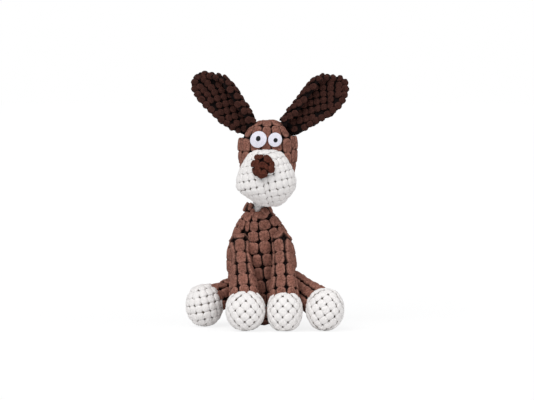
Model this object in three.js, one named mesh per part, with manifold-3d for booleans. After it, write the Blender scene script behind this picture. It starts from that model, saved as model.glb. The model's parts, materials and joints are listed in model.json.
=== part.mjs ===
// Plush dog toy, seated and facing -Y.
// Millimetres, +Z up, with the origin at the middle of its footprint on the floor.
//
// The toy is sewn from chunky plush and stuffed. Each cover is an open shell whose edge
// meets the next one, and the stuffing fills them. A knotted rope carries the head, the
// legs and tail turn on round roots in the body, and a squeaker sits in the belly.

import * as THREE from 'three';
import { mergeVertices } from 'three/addons/utils/BufferGeometryUtils.js';
import Module from 'manifold-3d';

const sideways = new THREE.Vector3(1, 0, 0);
const upwards = new THREE.Vector3(0, 0, 1);

// Cloth, clearances and overruns
const clothWall = 2.4;
const sewnGap = 0.3;
const swingGap = 0.8;
const rootSlack = 0.1;
const floorPress = 0.5;
const cutOverrun = 8;
const mergeTolerance = 0.0005;
const facetTolerance = 0.08;

// Kernels: the plump tufts of the cloth on the body and head, and the cloth under them
const kernelHeight = 3.8;
const kernelBacking = 1.2;

// Hidden faces and the round roots of the limbs are cut from fewer facets than the outsides.
const hiddenFacetShare = 0.5;
const rootSideCount = 10;

// Body: a pear that leans forward from its seat to its neck
const bodyHeight = 119;
const bodyHalfWidth = 36;
const bodyHalfDepth = 34;
const seatSetback = 18;
const seatSide = -4;
const neckSide = -9;
const bodyFullness = 0.5;
const bodyColumnCount = 20;
const bodyRowCount = 14;
const bodyShares = [
  { at: 0, width: 1.18, depth: 1.18 },
  { at: 0.17, width: 1.12, depth: 1.13 },
  { at: 0.34, width: 1.02, depth: 1.02 },
  { at: 0.5, width: 0.97, depth: 0.92 },
  { at: 0.64, width: 0.95, depth: 0.86 },
  { at: 0.75, width: 0.9, depth: 0.8 },
  { at: 0.84, width: 0.82, depth: 0.74 },
  { at: 0.92, width: 0.72, depth: 0.68 },
  { at: 1, width: 0.62, depth: 0.62 },
];

// Chest panel: the front gusset between the legs, tapered to the neck and the seat
const chestHalfWidth = 16;
const chestSide = -4;
const chestBack = 4;
const chestOutlineShares = [
  { up: 0.06, side: 0.3 },
  { up: 0.2, side: 0.66 },
  { up: 0.45, side: 0.95 },
  { up: 0.7, side: 1 },
  { up: 0.88, side: 0.78 },
  { up: 1.05, side: 0.4 },
];

// Neck rope: two knots with a straight stretch between them
const ropeRadius = 5.5;
const ropeSpan = 40;
const ropeLean = THREE.MathUtils.degToRad(5.5);
const ropeSideCount = 10;
const lowerKnotRadius = 8;
const upperKnotRadius = 8.5;
const lowerKnotDrop = 11;
const nodLimit = THREE.MathUtils.degToRad(16);

// Head: a rounded hood, with its sizes from the upper knot
const headHeight = 74;
const headHalfWidth = 30.4;
const headHalfDepth = 28;
const headDrop = 16;
const headSetback = 8;
const headYaw = THREE.MathUtils.degToRad(-4);
const faceSide = 6.5;
const headFullness = 0.5;
const headColumnCount = 18;
const headRowCount = 11;
const headShares = [
  { at: 0, width: 0.86, depth: 0.86 },
  { at: 0.25, width: 0.92, depth: 0.95 },
  { at: 0.5, width: 0.98, depth: 1 },
  { at: 0.78, width: 1.02, depth: 1 },
  { at: 0.9, width: 0.87, depth: 0.95 },
  { at: 1, width: 0.7, depth: 0.8 },
];

// Muzzle: a big ball, broader below, in two panels that meet at a leaning seam
const muzzleHeight = 58.5;
const muzzleHalfWidth = 31.7;
const muzzleHalfDepth = 32;
const muzzleDrop = 28;
const muzzleForward = 15;
const muzzleFullness = 0.5;
const muzzleSideCount = 16;
const muzzleRingCount = 10;
const seamLean = THREE.MathUtils.degToRad(12);
const muzzleShares = [
  { at: 0, width: 0.7, depth: 0.74 },
  { at: 0.14, width: 0.82, depth: 0.88 },
  { at: 0.24, width: 0.94, depth: 0.96 },
  { at: 0.34, width: 1, depth: 1 },
  { at: 0.5, width: 0.965, depth: 1 },
  { at: 0.62, width: 0.915, depth: 0.97 },
  { at: 0.8, width: 0.81, depth: 0.9 },
  { at: 1, width: 0.77, depth: 0.84 },
];

// Nose: a padded patch, broad above and pointed below, on the front of the muzzle
const noseHeight = 27;
const noseHalfWidth = 12.8;
const noseHalfDepth = 8.5;
const noseRise = 26;
const noseSide = -1.6;
const noseForward = 44.5;
const noseSlopeDepth = 10;
const noseFullness = 0.5;
const noseSideCount = 14;
const noseRingCount = 8;
const noseShares = [
  { at: 0, width: 0.3, depth: 0.8 },
  { at: 0.25, width: 0.78, depth: 0.95 },
  { at: 0.55, width: 1.02, depth: 1 },
  { at: 0.8, width: 0.94, depth: 1 },
  { at: 1, width: 0.76, depth: 1 },
];

// Eyes: round embroidered patches that lie on the head above the muzzle
const eyeDrop = 18.8;
const eyeRise = headHeight - headDrop - eyeDrop;
const eyeThickness = 1.2;
const pupilThickness = 0.8;
const eyeSideCount = 20;
const pupilSideCount = 10;
const leftEyeSide = -7.6;
const leftEyeHalfWidth = 8.5;
const leftEyeHalfHeight = 8.2;
const leftPupilRise = 0.6;
const leftPupilRadius = 2.3;
const rightEyeSide = 9.2;
const rightEyeHalfWidth = 7;
const rightEyeHalfHeight = 7.3;
const rightPupilSide = 0.4;
const rightPupilDrop = 0.4;
const rightPupilRadius = 1.9;
const eyes = {
  left: {
    side: leftEyeSide,
    halfWidth: leftEyeHalfWidth,
    halfHeight: leftEyeHalfHeight,
    pupilSide: 0,
    pupilRise: leftPupilRise,
    pupilRadius: leftPupilRadius,
  },
  right: {
    side: rightEyeSide,
    halfWidth: rightEyeHalfWidth,
    halfHeight: rightEyeHalfHeight,
    pupilSide: rightPupilSide,
    pupilRise: -rightPupilDrop,
    pupilRadius: rightPupilRadius,
  },
};

// Ears: two cupped plies on a round root, the upper margin rolled forward
const earLength = 72;
const earHalfWidth = 25;
const earFrontPly = 2.7;
const earBackPly = 2;
const earTilts = { left: THREE.MathUtils.degToRad(44), right: THREE.MathUtils.degToRad(48) };
const earRootRadius = 3.2;
const earRootDrop = 6.5;
const earRootRise = headHeight - headDrop - earRootDrop;
const earRootSide = 20.5;
const earRootShift = 2;
const earRootSetback = 6;
const earRootProud = 0.7;
const earSwingGap = 0.4;
const earCup = THREE.MathUtils.degToRad(38);
const earRoll = THREE.MathUtils.degToRad(125);
const earRollStartShare = 0.58;
const earEdgeShare = 0.45;
const earRootLengthShare = 0.86;
const earColumnCount = 8;
const earRowCount = 8;
const earRootSideCount = 8;
const earShares = [
  { at: 0, width: 0.52, roll: 0.1 },
  { at: 0.15, width: 0.78, roll: 0.8 },
  { at: 0.3, width: 0.94, roll: 1 },
  { at: 0.5, width: 1, roll: 0.9 },
  { at: 0.66, width: 0.97, roll: 0.6 },
  { at: 0.8, width: 0.78, roll: 0.3 },
  { at: 0.9, width: 0.58, roll: 0.2 },
  { at: 1, width: 0.26, roll: 0.1 },
];

// Legs: a round root in the body, a sleeve that swells to the ankle, and a ball paw.
// Sides and setbacks are measured from the middle of the toy.
const legSideCount = 10;
const legStepCount = 4;
const pawSideCount = 12;
const pawRingCount = 8;
const ankleAtShare = 0.72;
const heartRiseShare = 0.54;
const waistAtShare = 0.18;
const frontLeftRootSide = -27;
const frontLeftRootSetback = -13;
const frontLeftRootRise = 84;
const frontLeftRootRadius = 11.5;
const frontLeftWaistRadius = 9.6;
const frontLeftAnkleRadius = 15.6;
const frontLeftPawSide = -21.2;
const frontLeftPawSetback = -47;
const frontLeftPawHeight = 42;
const frontLeftPawHalfWidth = 20.8;
const frontLeftPawHalfDepth = 22;

const frontRightRootSide = 14.5;
const frontRightRootSetback = -18;
const frontRightRootRise = 86;
const frontRightRootRadius = 11.5;
const frontRightWaistRadius = 10;
const frontRightAnkleRadius = 15.8;
const frontRightPawSide = 17.4;
const frontRightPawSetback = -47;
const frontRightPawHeight = 40.5;
const frontRightPawHalfWidth = 18.7;
const frontRightPawHalfDepth = 21;

const hindLeftRootSide = -37;
const hindLeftRootSetback = 15;
const hindLeftRootRise = 31;
const hindLeftRootRadius = 14.5;
const hindLeftWaistRadius = 10.8;
const hindLeftAnkleRadius = 16.3;
const hindLeftPawSide = -62.4;
const hindLeftPawSetback = -5;
const hindLeftPawHeight = 44;
const hindLeftPawHalfWidth = 19.9;
const hindLeftPawHalfDepth = 20.5;

const hindRightRootSide = 28;
const hindRightRootSetback = 8;
const hindRightRootRise = 37;
const hindRightRootRadius = 15;
const hindRightWaistRadius = 12.5;
const hindRightAnkleRadius = 16.3;
const hindRightPawSide = 57;
const hindRightPawSetback = -45;
const hindRightPawHeight = 43.5;
const hindRightPawHalfWidth = 20;
const hindRightPawHalfDepth = 20.5;

const legs = {
  front_left: {
    root: { x: frontLeftRootSide, y: frontLeftRootSetback, z: frontLeftRootRise },
    hinge: sideways,
    rootRadius: frontLeftRootRadius,
    waistRadius: frontLeftWaistRadius,
    ankleRadius: frontLeftAnkleRadius,
    paw: { x: frontLeftPawSide, y: frontLeftPawSetback },
    height: frontLeftPawHeight,
    halfWidth: frontLeftPawHalfWidth,
    halfDepth: frontLeftPawHalfDepth,
    fullness: 0.85,
  },
  front_right: {
    root: { x: frontRightRootSide, y: frontRightRootSetback, z: frontRightRootRise },
    hinge: sideways,
    rootRadius: frontRightRootRadius,
    waistRadius: frontRightWaistRadius,
    ankleRadius: frontRightAnkleRadius,
    paw: { x: frontRightPawSide, y: frontRightPawSetback },
    height: frontRightPawHeight,
    halfWidth: frontRightPawHalfWidth,
    halfDepth: frontRightPawHalfDepth,
    fullness: 0.62,
  },
  hind_left: {
    root: { x: hindLeftRootSide, y: hindLeftRootSetback, z: hindLeftRootRise },
    hinge: upwards,
    rootRadius: hindLeftRootRadius,
    waistRadius: hindLeftWaistRadius,
    ankleRadius: hindLeftAnkleRadius,
    paw: { x: hindLeftPawSide, y: hindLeftPawSetback },
    height: hindLeftPawHeight,
    halfWidth: hindLeftPawHalfWidth,
    halfDepth: hindLeftPawHalfDepth,
    fullness: 0.85,
  },
  hind_right: {
    root: { x: hindRightRootSide, y: hindRightRootSetback, z: hindRightRootRise },
    hinge: upwards,
    rootRadius: hindRightRootRadius,
    waistRadius: hindRightWaistRadius,
    ankleRadius: hindRightAnkleRadius,
    paw: { x: hindRightPawSide, y: hindRightPawSetback },
    height: hindRightPawHeight,
    halfWidth: hindRightPawHalfWidth,
    halfDepth: hindRightPawHalfDepth,
    fullness: 0.85,
  },
};

// Tail: a short plump tube, open at its root, that points back and up
const tailRootSide = -4;
const tailRootSetback = 50;
const tailRootRise = 27;
const tailRootRadius = 8.5;
const tailWaistRadius = 6.4;
const tailTipRadius = 7.5;
const tailLength = 30;
const tailRise = THREE.MathUtils.degToRad(40);
const tailBoreRadius = 4;
const tail = {
  root: { x: tailRootSide, y: tailRootSetback, z: tailRootRise },
  rootRadius: tailRootRadius,
  hinge: upwards,
};

// Squeaker: base, accordion bellows and cap, with a reed in a plug below
const squeakerSetback = 13;
const squeakerRise = 42;
const squeakerBaseRadius = 16;
const squeakerBaseHeight = 4;
const bellowsRadius = 15;
const bellowsFoldDepth = 3;
const bellowsWall = 0.9;
const bellowsHeight = 17;
const bellowsFoldCount = 4;
const capRadius = 14.5;
const capEdge = 1.2;
const capCrown = 2.2;
const plugRadius = 4;
const plugBoreRadius = 2.6;
const plugLength = 7;
const plugFlangeRadius = 6.5;
const plugFlangeHeight = 1.2;
const reedWidth = 4.4;
const reedThickness = 0.5;
const reedLength = 6;
const pocketGap = 0.5;
const slitWidth = 20;
const slitHeight = 2;
const squeakerSideCount = 14;

// Colour, roughness and metalness of each finish
const finishes = {
  brownPlush: { color: 0x96644f, roughness: 0.95, metalness: 0 },
  whitePlush: { color: 0xebe8e4, roughness: 0.95, metalness: 0 },
  chocolatePlush: { color: 0x46231e, roughness: 0.95, metalness: 0 },
  nosePlush: { color: 0x5f2d23, roughness: 0.95, metalness: 0 },
  eyeThread: { color: 0xe9e6f0, roughness: 0.55, metalness: 0 },
  pupilThread: { color: 0x15141a, roughness: 0.45, metalness: 0 },
  cottonRope: { color: 0xefebe4, roughness: 0.9, metalness: 0 },
  fibreFill: { color: 0xf4f4f2, roughness: 1, metalness: 0 },
  squeakerPlastic: { color: 0xe8e4d8, roughness: 0.45, metalness: 0 },
  reedPlastic: { color: 0xc8452f, roughness: 0.4, metalness: 0 },
};

const wasm = await Module();
wasm.setup();

// Solids and meshes

function toSolid(geometry) {
  const bare = geometry.clone();
  bare.deleteAttribute('normal');
  bare.deleteAttribute('uv');
  const merged = mergeVertices(bare, mergeTolerance);
  const index = merged.index.array;
  const corners = [];
  for (let start = 0; start < index.length; start += 3) {
    const [a, b, c] = index.slice(start, start + 3);
    if (a !== b && b !== c && c !== a) corners.push(a, b, c);
  }
  return new wasm.Manifold(new wasm.Mesh({
    numProp: 3,
    vertProperties: new Float32Array(merged.attributes.position.array),
    triVerts: new Uint32Array(corners),
  }));
}

// As its own original, a solid forgets which of its faces came from which cutter, so that
// the short edges along the cuts are simplified too.
function toGeometry(solid) {
  const simple = solid.asOriginal().simplify(facetTolerance);
  const { numProp, vertProperties, triVerts } = simple.getMesh();
  const places = new Float32Array(vertProperties.length / numProp * 3);
  for (let vertex = 0; vertex < places.length / 3; vertex += 1) {
    for (let axis = 0; axis < 3; axis += 1) {
      places[vertex * 3 + axis] = vertProperties[vertex * numProp + axis];
    }
  }
  const geometry = new THREE.BufferGeometry();
  geometry.setAttribute('position', new THREE.BufferAttribute(places, 3));
  geometry.setIndex(new THREE.BufferAttribute(new Uint32Array(triVerts), 1));
  geometry.computeVertexNormals();
  return geometry;
}

// Adds a solid to the group that stands at the pivot, as a named mesh with its own finish.
function addPiece(group, name, solid, finish, pivot = new THREE.Vector3()) {
  const geometry = toGeometry(solid);
  geometry.translate(-pivot.x, -pivot.y, -pivot.z);
  const mesh = new THREE.Mesh(geometry, new THREE.MeshStandardMaterial(finish));
  mesh.name = name;
  group.add(mesh);
}

function joined(solids) {
  return solids.reduce((whole, solid) => whole.add(solid));
}

function cutBy(solid, cutters) {
  return cutters.reduce((left, cutter) => left.subtract(cutter), solid);
}

// Basic shapes

// A ball whose facets lie evenly round an axis, so that it can turn in a socket of its kind
function ball(centre, radius, axis = upwards, sides = rootSideCount) {
  const sphere = new THREE.SphereGeometry(radius, sides, Math.round(sides * 2 / 3));
  sphere.applyQuaternion(new THREE.Quaternion().setFromUnitVectors(new THREE.Vector3(0, 1, 0), axis));
  return toSolid(sphere.translate(centre.x, centre.y, centre.z));
}

// A profile of [radius, height] points turned round a line from the foot along the direction
function turned(profile, foot, direction = upwards, sides = squeakerSideCount) {
  const points = profile.map(([radius, height]) => new THREE.Vector2(radius, height));
  const lathe = new THREE.LatheGeometry(points, sides).rotateX(Math.PI / 2);
  lathe.applyQuaternion(new THREE.Quaternion().setFromUnitVectors(upwards, direction));
  return toSolid(lathe.translate(foot.x, foot.y, foot.z));
}

function rod(radius, height, foot, direction, sides) {
  return turned([[0, 0], [radius, 0], [radius, height], [0, height]], foot, direction, sides);
}

function box(width, depth, height, centre) {
  return toSolid(new THREE.BoxGeometry(width, depth, height).translate(centre.x, centre.y, centre.z));
}

// Linear reading of a table of shares at a place from 0 to 1
function shareAt(shares, at, key) {
  const above = Math.max(1, shares.findIndex((row) => row.at >= at));
  const low = shares[above - 1];
  const high = shares[above];
  return THREE.MathUtils.mapLinear(at, low.at, high.at, low[key], high[key]);
}

// Stuffed forms

// The layers of a cover and its filling: the outside, the hollow, and what fills it
const outside = 0;
const hollow = clothWall;
const filling = hollow + sewnGap;
const kernelHollow = kernelHeight + kernelBacking;
const kernelFilling = kernelHollow + sewnGap;

function alongSpine(spine, length, distance) {
  const share = THREE.MathUtils.clamp(distance / length, 0, 1);
  return spine.getPointAt(share).addScaledVector(spine.getTangentAt(share), distance - share * length);
}

// A solid skinned over rings of points, closed by a fan at each end.
function skinned(rings, start, end) {
  const corners = [];
  const face = (...points) => points.forEach((point) => corners.push(point.x, point.y, point.z));
  const sides = rings[0].length;
  for (let side = 0; side < sides; side += 1) {
    const next = (side + 1) % sides;
    face(start, rings[0][next], rings[0][side]);
    face(end, rings.at(-1)[side], rings.at(-1)[next]);
    for (let ring = 1; ring < rings.length; ring += 1) {
      face(rings[ring - 1][side], rings[ring - 1][next], rings[ring][next]);
      face(rings[ring - 1][side], rings[ring][next], rings[ring][side]);
    }
  }
  const geometry = new THREE.BufferGeometry();
  geometry.setAttribute('position', new THREE.Float32BufferAttribute(corners, 3));
  return toSolid(geometry);
}

// A form of elliptical rings that swells and tapers along its spine and closes round at
// both ends. A fullness of 1 is an ellipsoid, and less is blunter. The inset draws the
// whole surface in, or out where it is negative. Where the form's cloth has kernels, the
// outside has one at each corner, and sinks between them: by half their height where two
// meet, and by all of it where four do.
function stuffed(form, inset = outside) {
  const length = form.spine.getLength();
  const facetShare = inset > outside ? hiddenFacetShare : 1;
  const height = inset === outside ? form.kernelHeight ?? 0 : 0;
  const stepsEach = height > 0 ? 2 : 1;
  const ringCount = stepsEach * Math.round(form.ringCount * facetShare);
  const sideCount = stepsEach * Math.round(form.sideCount * facetShare);
  const outline = [];
  for (let ring = 0; ring <= ringCount; ring += 1) {
    const angle = Math.PI * (ring / ringCount - 1 / 2);
    const at = (1 + Math.sin(angle)) / 2;
    const swell = Math.max(0, Math.cos(angle)) ** form.fullness;
    outline.push({
      along: at * length,
      width: form.halfWidth * shareAt(form.shares, at, 'width') * swell,
      depth: form.halfDepth * shareAt(form.shares, at, 'depth') * swell,
    });
  }
  const rings = [];
  for (let ring = 1; ring < ringCount; ring += 1) {
    const before = outline[ring - 1];
    const here = outline[ring];
    const after = outline[ring + 1];
    const rise = after.along - before.along;
    const spread = (after.width + after.depth - before.width - before.depth) / 2;
    const slope = Math.hypot(rise, spread);
    const points = [];
    for (let side = 0; side < sideCount; side += 1) {
      const turn = 2 * Math.PI * side / sideCount;
      const sunk = inset + height * ((ring % stepsEach) + (side % stepsEach)) / 2;
      const drawIn = sunk * rise / slope;
      const centre = alongSpine(form.spine, length, here.along + sunk * spread / slope);
      points.push(new THREE.Vector3(
        centre.x + (here.width - drawIn) * Math.cos(turn),
        centre.y + (here.depth - drawIn) * Math.sin(turn),
        centre.z,
      ));
    }
    rings.push(points);
  }
  const start = alongSpine(form.spine, length, inset);
  const end = alongSpine(form.spine, length, length - inset);
  return skinned(rings, start, end);
}

function uprightSpine(x, y, low, high) {
  return new THREE.LineCurve3(new THREE.Vector3(x, y, low), new THREE.Vector3(x, y, high));
}

const floorReach = 2 * (bodyHeight + bodyHalfDepth);
const floor = box(floorReach, floorReach, floorReach, { x: 0, y: 0, z: -floorReach / 2 });

// Body, with round sockets for the limbs and a way in for the rope

const neckRim = new THREE.Vector3(neckSide, 0, bodyHeight);
const ropeDirection = new THREE.Vector3(Math.sin(ropeLean), 0, Math.cos(ropeLean));
const lowerKnot = neckRim.clone().addScaledVector(ropeDirection, -lowerKnotDrop);

const bodyForm = {
  spine: new THREE.QuadraticBezierCurve3(
    new THREE.Vector3(seatSide, seatSetback, -floorPress),
    new THREE.Vector3(seatSide, seatSetback, bodyHeight / 2),
    neckRim,
  ),
  halfWidth: bodyHalfWidth,
  halfDepth: bodyHalfDepth,
  shares: bodyShares,
  fullness: bodyFullness,
  sideCount: bodyColumnCount,
  ringCount: bodyRowCount,
  kernelHeight,
};

function chestCutter(growth) {
  const sidePoints = chestOutlineShares.map(({ up, side }) => (
    new THREE.Vector2(side * chestHalfWidth + growth, up * bodyHeight)));
  const edge = new THREE.SplineCurve(sidePoints).getPoints(2 * sidePoints.length);
  edge[0].y -= growth;
  const mirrored = edge.map((point) => new THREE.Vector2(-point.x, point.y)).reverse();
  const reach = bodyHalfDepth + seatSetback + cutOverrun;
  const prism = new THREE.ExtrudeGeometry(new THREE.Shape([...edge, ...mirrored]), {
    depth: reach,
    bevelEnabled: false,
  });
  return toSolid(prism.rotateX(Math.PI / 2).translate(chestSide, chestBack + growth, 0));
}

function ropeChannel() {
  const reach = lowerKnotDrop + cutOverrun;
  const throat = ropeRadius + swingGap;
  const mouth = throat + reach * Math.tan(nodLimit);
  return turned([[0, 0], [throat, 0], [mouth, reach], [0, reach]], lowerKnot, ropeDirection, rootSideCount);
}

const squeakerFoot = new THREE.Vector3(seatSide, squeakerSetback, squeakerRise);
const bellowsFoot = squeakerBaseHeight + sewnGap;
const capFoot = bellowsFoot + bellowsHeight + sewnGap;
const capTop = capFoot + capEdge + capCrown;

function squeakerPocket() {
  const radius = squeakerBaseRadius + pocketGap;
  const low = -plugFlangeHeight - sewnGap - pocketGap;
  const high = capTop + pocketGap;
  return turned([[0, low], [radius, low], [radius, high], [0, high]], squeakerFoot);
}

// The slit through which the squeaker was put into the stuffing, open at the back
function stuffingSlit() {
  const reach = bodyHalfDepth + seatSetback;
  const centre = { x: seatSide, y: squeakerSetback + reach / 2, z: squeakerRise + capTop / 2 };
  return box(slitWidth, reach, slitHeight, centre);
}

function makeBody(sockets) {
  const body = new THREE.Group();
  const knotRoom = ball(lowerKnot, lowerKnotRadius + swingGap);
  const openings = [...sockets, ropeChannel(), knotRoom, floor];
  const cover = cutBy(stuffed(bodyForm, outside), [stuffed(bodyForm, kernelHollow), ...openings]);
  const fill = cutBy(stuffed(bodyForm, kernelFilling), [...openings, squeakerPocket(), stuffingSlit()]);
  addPiece(body, 'body_back_cover', cover.subtract(chestCutter(sewnGap)), finishes.brownPlush);
  addPiece(body, 'chest_panel', cover.intersect(chestCutter(outside)), finishes.brownPlush);
  addPiece(body, 'body_stuffing', fill, finishes.fibreFill);
  return body;
}

// Squeaker

function bellowsProfile() {
  const outer = [];
  const steps = 2 * bellowsFoldCount;
  for (let step = 0; step <= steps; step += 1) {
    const radius = step % 2 === 0 ? bellowsRadius - bellowsFoldDepth : bellowsRadius;
    outer.push([radius, bellowsFoot + bellowsHeight * step / steps]);
  }
  const inner = outer.map(([radius, height]) => [radius - bellowsWall, height]).reverse();
  return [...outer, ...inner, outer[0]];
}

function makeSqueaker() {
  const squeaker = new THREE.Group();
  const cap = new THREE.Group();
  squeaker.position.copy(squeakerFoot);
  cap.position.z = capFoot;
  cap.name = 'squeaker_press';
  squeaker.add(cap);
  const bore = plugRadius + sewnGap;
  const flangeFoot = -sewnGap - plugFlangeHeight;
  const origin = new THREE.Vector3();
  const base = turned([
    [bore, 0],
    [squeakerBaseRadius, 0],
    [squeakerBaseRadius, squeakerBaseHeight],
    [bore, squeakerBaseHeight],
    [bore, 0],
  ], origin);
  const plug = turned([
    [plugBoreRadius, flangeFoot],
    [plugFlangeRadius, flangeFoot],
    [plugFlangeRadius, -sewnGap],
    [plugRadius, -sewnGap],
    [plugRadius, flangeFoot + plugLength],
    [plugBoreRadius, flangeFoot + plugLength],
    [plugBoreRadius, flangeFoot],
  ], origin);
  const crown = turned([
    [0, 0],
    [capRadius, 0],
    [capRadius, capEdge],
    [capRadius / 2, capEdge + capCrown * 3 / 4],
    [0, capEdge + capCrown],
  ], origin);
  const reed = box(reedWidth, reedThickness, reedLength, { x: 0, y: 0, z: flangeFoot + plugLength / 2 });
  addPiece(squeaker, 'squeaker_base', base, finishes.squeakerPlastic);
  addPiece(squeaker, 'squeaker_bellows', turned(bellowsProfile(), origin), finishes.squeakerPlastic);
  addPiece(cap, 'squeaker_cap', crown, finishes.squeakerPlastic);
  addPiece(squeaker, 'squeaker_plug', plug, finishes.squeakerPlastic);
  addPiece(squeaker, 'squeaker_reed', reed, finishes.reedPlastic);
  return squeaker;
}

// Legs and tail

// A round root at the limb's pivot, with a tube from it along the direction. Each stop
// gives a distance from the pivot and the tube's radius there.
function limbTube(limb, direction, stops, inset) {
  const curve = new THREE.SplineCurve(stops.map(([along, radius]) => new THREE.Vector2(radius, along)));
  const side = curve.getPoints(legStepCount).map((point) => [point.x - inset, point.y]);
  const profile = [[0, side[0][1]], ...side, [0, side.at(-1)[1]]];
  const sides = Math.round(legSideCount * (inset > 0 ? hiddenFacetShare : 1));
  const root = ball(limb.root, limb.rootRadius - inset, limb.hinge, sides);
  return root.add(turned(profile, limb.root, direction, sides));
}

function pawForm(leg) {
  const { paw, fullness } = leg;
  return {
    spine: uprightSpine(paw.x, paw.y, -floorPress, leg.height),
    halfWidth: leg.halfWidth,
    halfDepth: leg.halfDepth,
    shares: [{ at: 0, width: 1, depth: 1 }, { at: 1, width: 1, depth: 1 }],
    fullness,
    sideCount: pawSideCount,
    ringCount: pawRingCount,
  };
}

function legTube(leg, inset) {
  const root = new THREE.Vector3(leg.root.x, leg.root.y, leg.root.z);
  const heart = new THREE.Vector3(leg.paw.x, leg.paw.y, leg.height * heartRiseShare);
  const direction = heart.clone().sub(root).normalize();
  const length = heart.distanceTo(root);
  const stops = [
    [0, leg.waistRadius],
    [length * waistAtShare, leg.waistRadius],
    [length * ankleAtShare, leg.ankleRadius],
    [length, leg.ankleRadius],
  ];
  return limbTube(leg, direction, stops, inset);
}

// A limb's root grown by a gap: its socket, or the room in which its tube can turn with it
function rootBall({ root, rootRadius, hinge }, gap) {
  return ball(root, rootRadius + gap, hinge);
}

// Where the two front paws press together, each is flat on its own side of this place.
const frontPawMeet = (legs.front_left.paw.x + legs.front_left.halfWidth
  + legs.front_right.paw.x - legs.front_right.halfWidth) / 2;

function beyondMeet(side) {
  const reach = legs.front_left.height + cutOverrun;
  const centre = {
    x: frontPawMeet - side * (reach - sewnGap / 2),
    y: legs.front_left.paw.y,
    z: reach / 2,
  };
  return box(2 * reach, 2 * reach, 2 * reach, centre);
}

function makeLeg(name, leg, clearOfBody) {
  const group = new THREE.Group();
  group.name = `${name}_leg`;
  group.position.copy(leg.root);
  const form = pawForm(leg);
  const hollowTube = legTube(leg, hollow);
  const hollowPaw = stuffed(form, hollow);
  const clearOfPaw = stuffed(form, -sewnGap);
  const neighbours = name.startsWith('front') ? [beyondMeet(Math.sign(leg.paw.x))] : [];
  const sleeve = cutBy(legTube(leg, outside), [clearOfBody, clearOfPaw, hollowTube]);
  const paw = cutBy(stuffed(form, outside), [hollowTube, hollowPaw, floor, ...neighbours]);
  const fill = legTube(leg, filling).add(stuffed(form, filling)).subtract(clearOfBody);
  addPiece(group, `${name}_sleeve`, sleeve, finishes.brownPlush, leg.root);
  addPiece(group, `${name}_paw`, paw, finishes.whitePlush, leg.root);
  addPiece(group, `${name}_stuffing`, fill, finishes.fibreFill, leg.root);
  return group;
}

function makeTail(clearOfBody) {
  const group = new THREE.Group();
  group.name = 'tail';
  group.position.copy(tail.root);
  const direction = new THREE.Vector3(0, Math.cos(tailRise), Math.sin(tailRise));
  const tip = new THREE.Vector3().copy(tail.root).addScaledVector(direction, tailLength);
  const stops = [[0, tailWaistRadius], [tailLength / 2, tailWaistRadius], [tailLength, tailTipRadius]];
  const tube = (inset) => joined([
    limbTube(tail, direction, stops, inset),
    ball(tip, tailTipRadius - inset, direction),
  ]);
  const back = direction.clone().negate();
  const mouth = rod(tailBoreRadius, tail.rootRadius + cutOverrun, tail.root, back, rootSideCount);
  const cover = cutBy(tube(outside), [clearOfBody, tube(hollow), mouth]);
  addPiece(group, 'tail_cover', cover, finishes.brownPlush, tail.root);
  addPiece(group, 'tail_stuffing', tube(filling).subtract(clearOfBody), finishes.fibreFill, tail.root);
  return group;
}

// Neck rope, in a frame whose Z axis runs along it from the lower knot

function makeNeck() {
  const neck = new THREE.Group();
  neck.name = 'neck';
  neck.position.copy(lowerKnot);
  neck.rotation.y = ropeLean;
  const top = new THREE.Vector3(0, 0, ropeSpan);
  const origin = new THREE.Vector3();
  const rope = joined([
    ball(origin, lowerKnotRadius),
    rod(ropeRadius, ropeSpan, origin, upwards, ropeSideCount),
    ball(top, upperKnotRadius),
  ]);
  addPiece(neck, 'neck_rope', rope, finishes.cottonRope);
  return neck;
}

// Head, in a frame whose origin is the upper knot

const headForm = {
  spine: uprightSpine(faceSide, headSetback, -headDrop, headHeight - headDrop),
  halfWidth: headHalfWidth,
  halfDepth: headHalfDepth,
  shares: headShares,
  fullness: headFullness,
  sideCount: headColumnCount,
  ringCount: headRowCount,
  kernelHeight,
};

const muzzleForm = {
  spine: uprightSpine(faceSide, -muzzleForward, -muzzleDrop, muzzleHeight - muzzleDrop),
  halfWidth: muzzleHalfWidth,
  halfDepth: muzzleHalfDepth,
  shares: muzzleShares,
  fullness: muzzleFullness,
  sideCount: muzzleSideCount,
  ringCount: muzzleRingCount,
};

const noseForm = {
  spine: new THREE.LineCurve3(
    new THREE.Vector3(faceSide + noseSide, -noseForward - noseSlopeDepth / 2, noseRise - noseHeight),
    new THREE.Vector3(faceSide + noseSide, -noseForward + noseSlopeDepth / 2, noseRise),
  ),
  halfWidth: noseHalfWidth,
  halfDepth: noseHalfDepth,
  shares: noseShares,
  fullness: noseFullness,
  sideCount: noseSideCount,
  ringCount: noseRingCount,
};

// The rope's way into the head, along the rope as the turned head sees it
function headRopeWay() {
  const into = new THREE.Vector3(Math.sin(ropeLean), 0, Math.cos(ropeLean));
  into.applyAxisAngle(upwards, -headYaw).negate();
  return rod(ropeRadius + swingGap, muzzleDrop + cutOverrun, new THREE.Vector3(), into, rootSideCount);
}

// All that lies to one side of the seam below the nose
function beyondSeam(side) {
  const reach = 2 * (muzzleHalfWidth + muzzleHalfDepth + cutOverrun);
  const block = new THREE.BoxGeometry(reach, reach, reach);
  block.translate(side * (reach - sewnGap) / 2, 0, 0);
  block.rotateY(-seamLean);
  return toSolid(block.translate(faceSide + noseSide, -muzzleForward, noseRise - noseHeight));
}

function eyeDisc(x, z, halfWidth, halfHeight, sides) {
  const reach = headHalfDepth + cutOverrun;
  const disc = new THREE.CylinderGeometry(1, 1, 1, sides).scale(halfWidth, reach, halfHeight);
  return toSolid(disc.translate(faceSide + x, headSetback - reach / 2, z));
}

// A layer that lies on the head, from one height over its surface to another
function headLayer(from, thickness) {
  return stuffed(headForm, -from - thickness).subtract(stuffed(headForm, -from));
}

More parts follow.
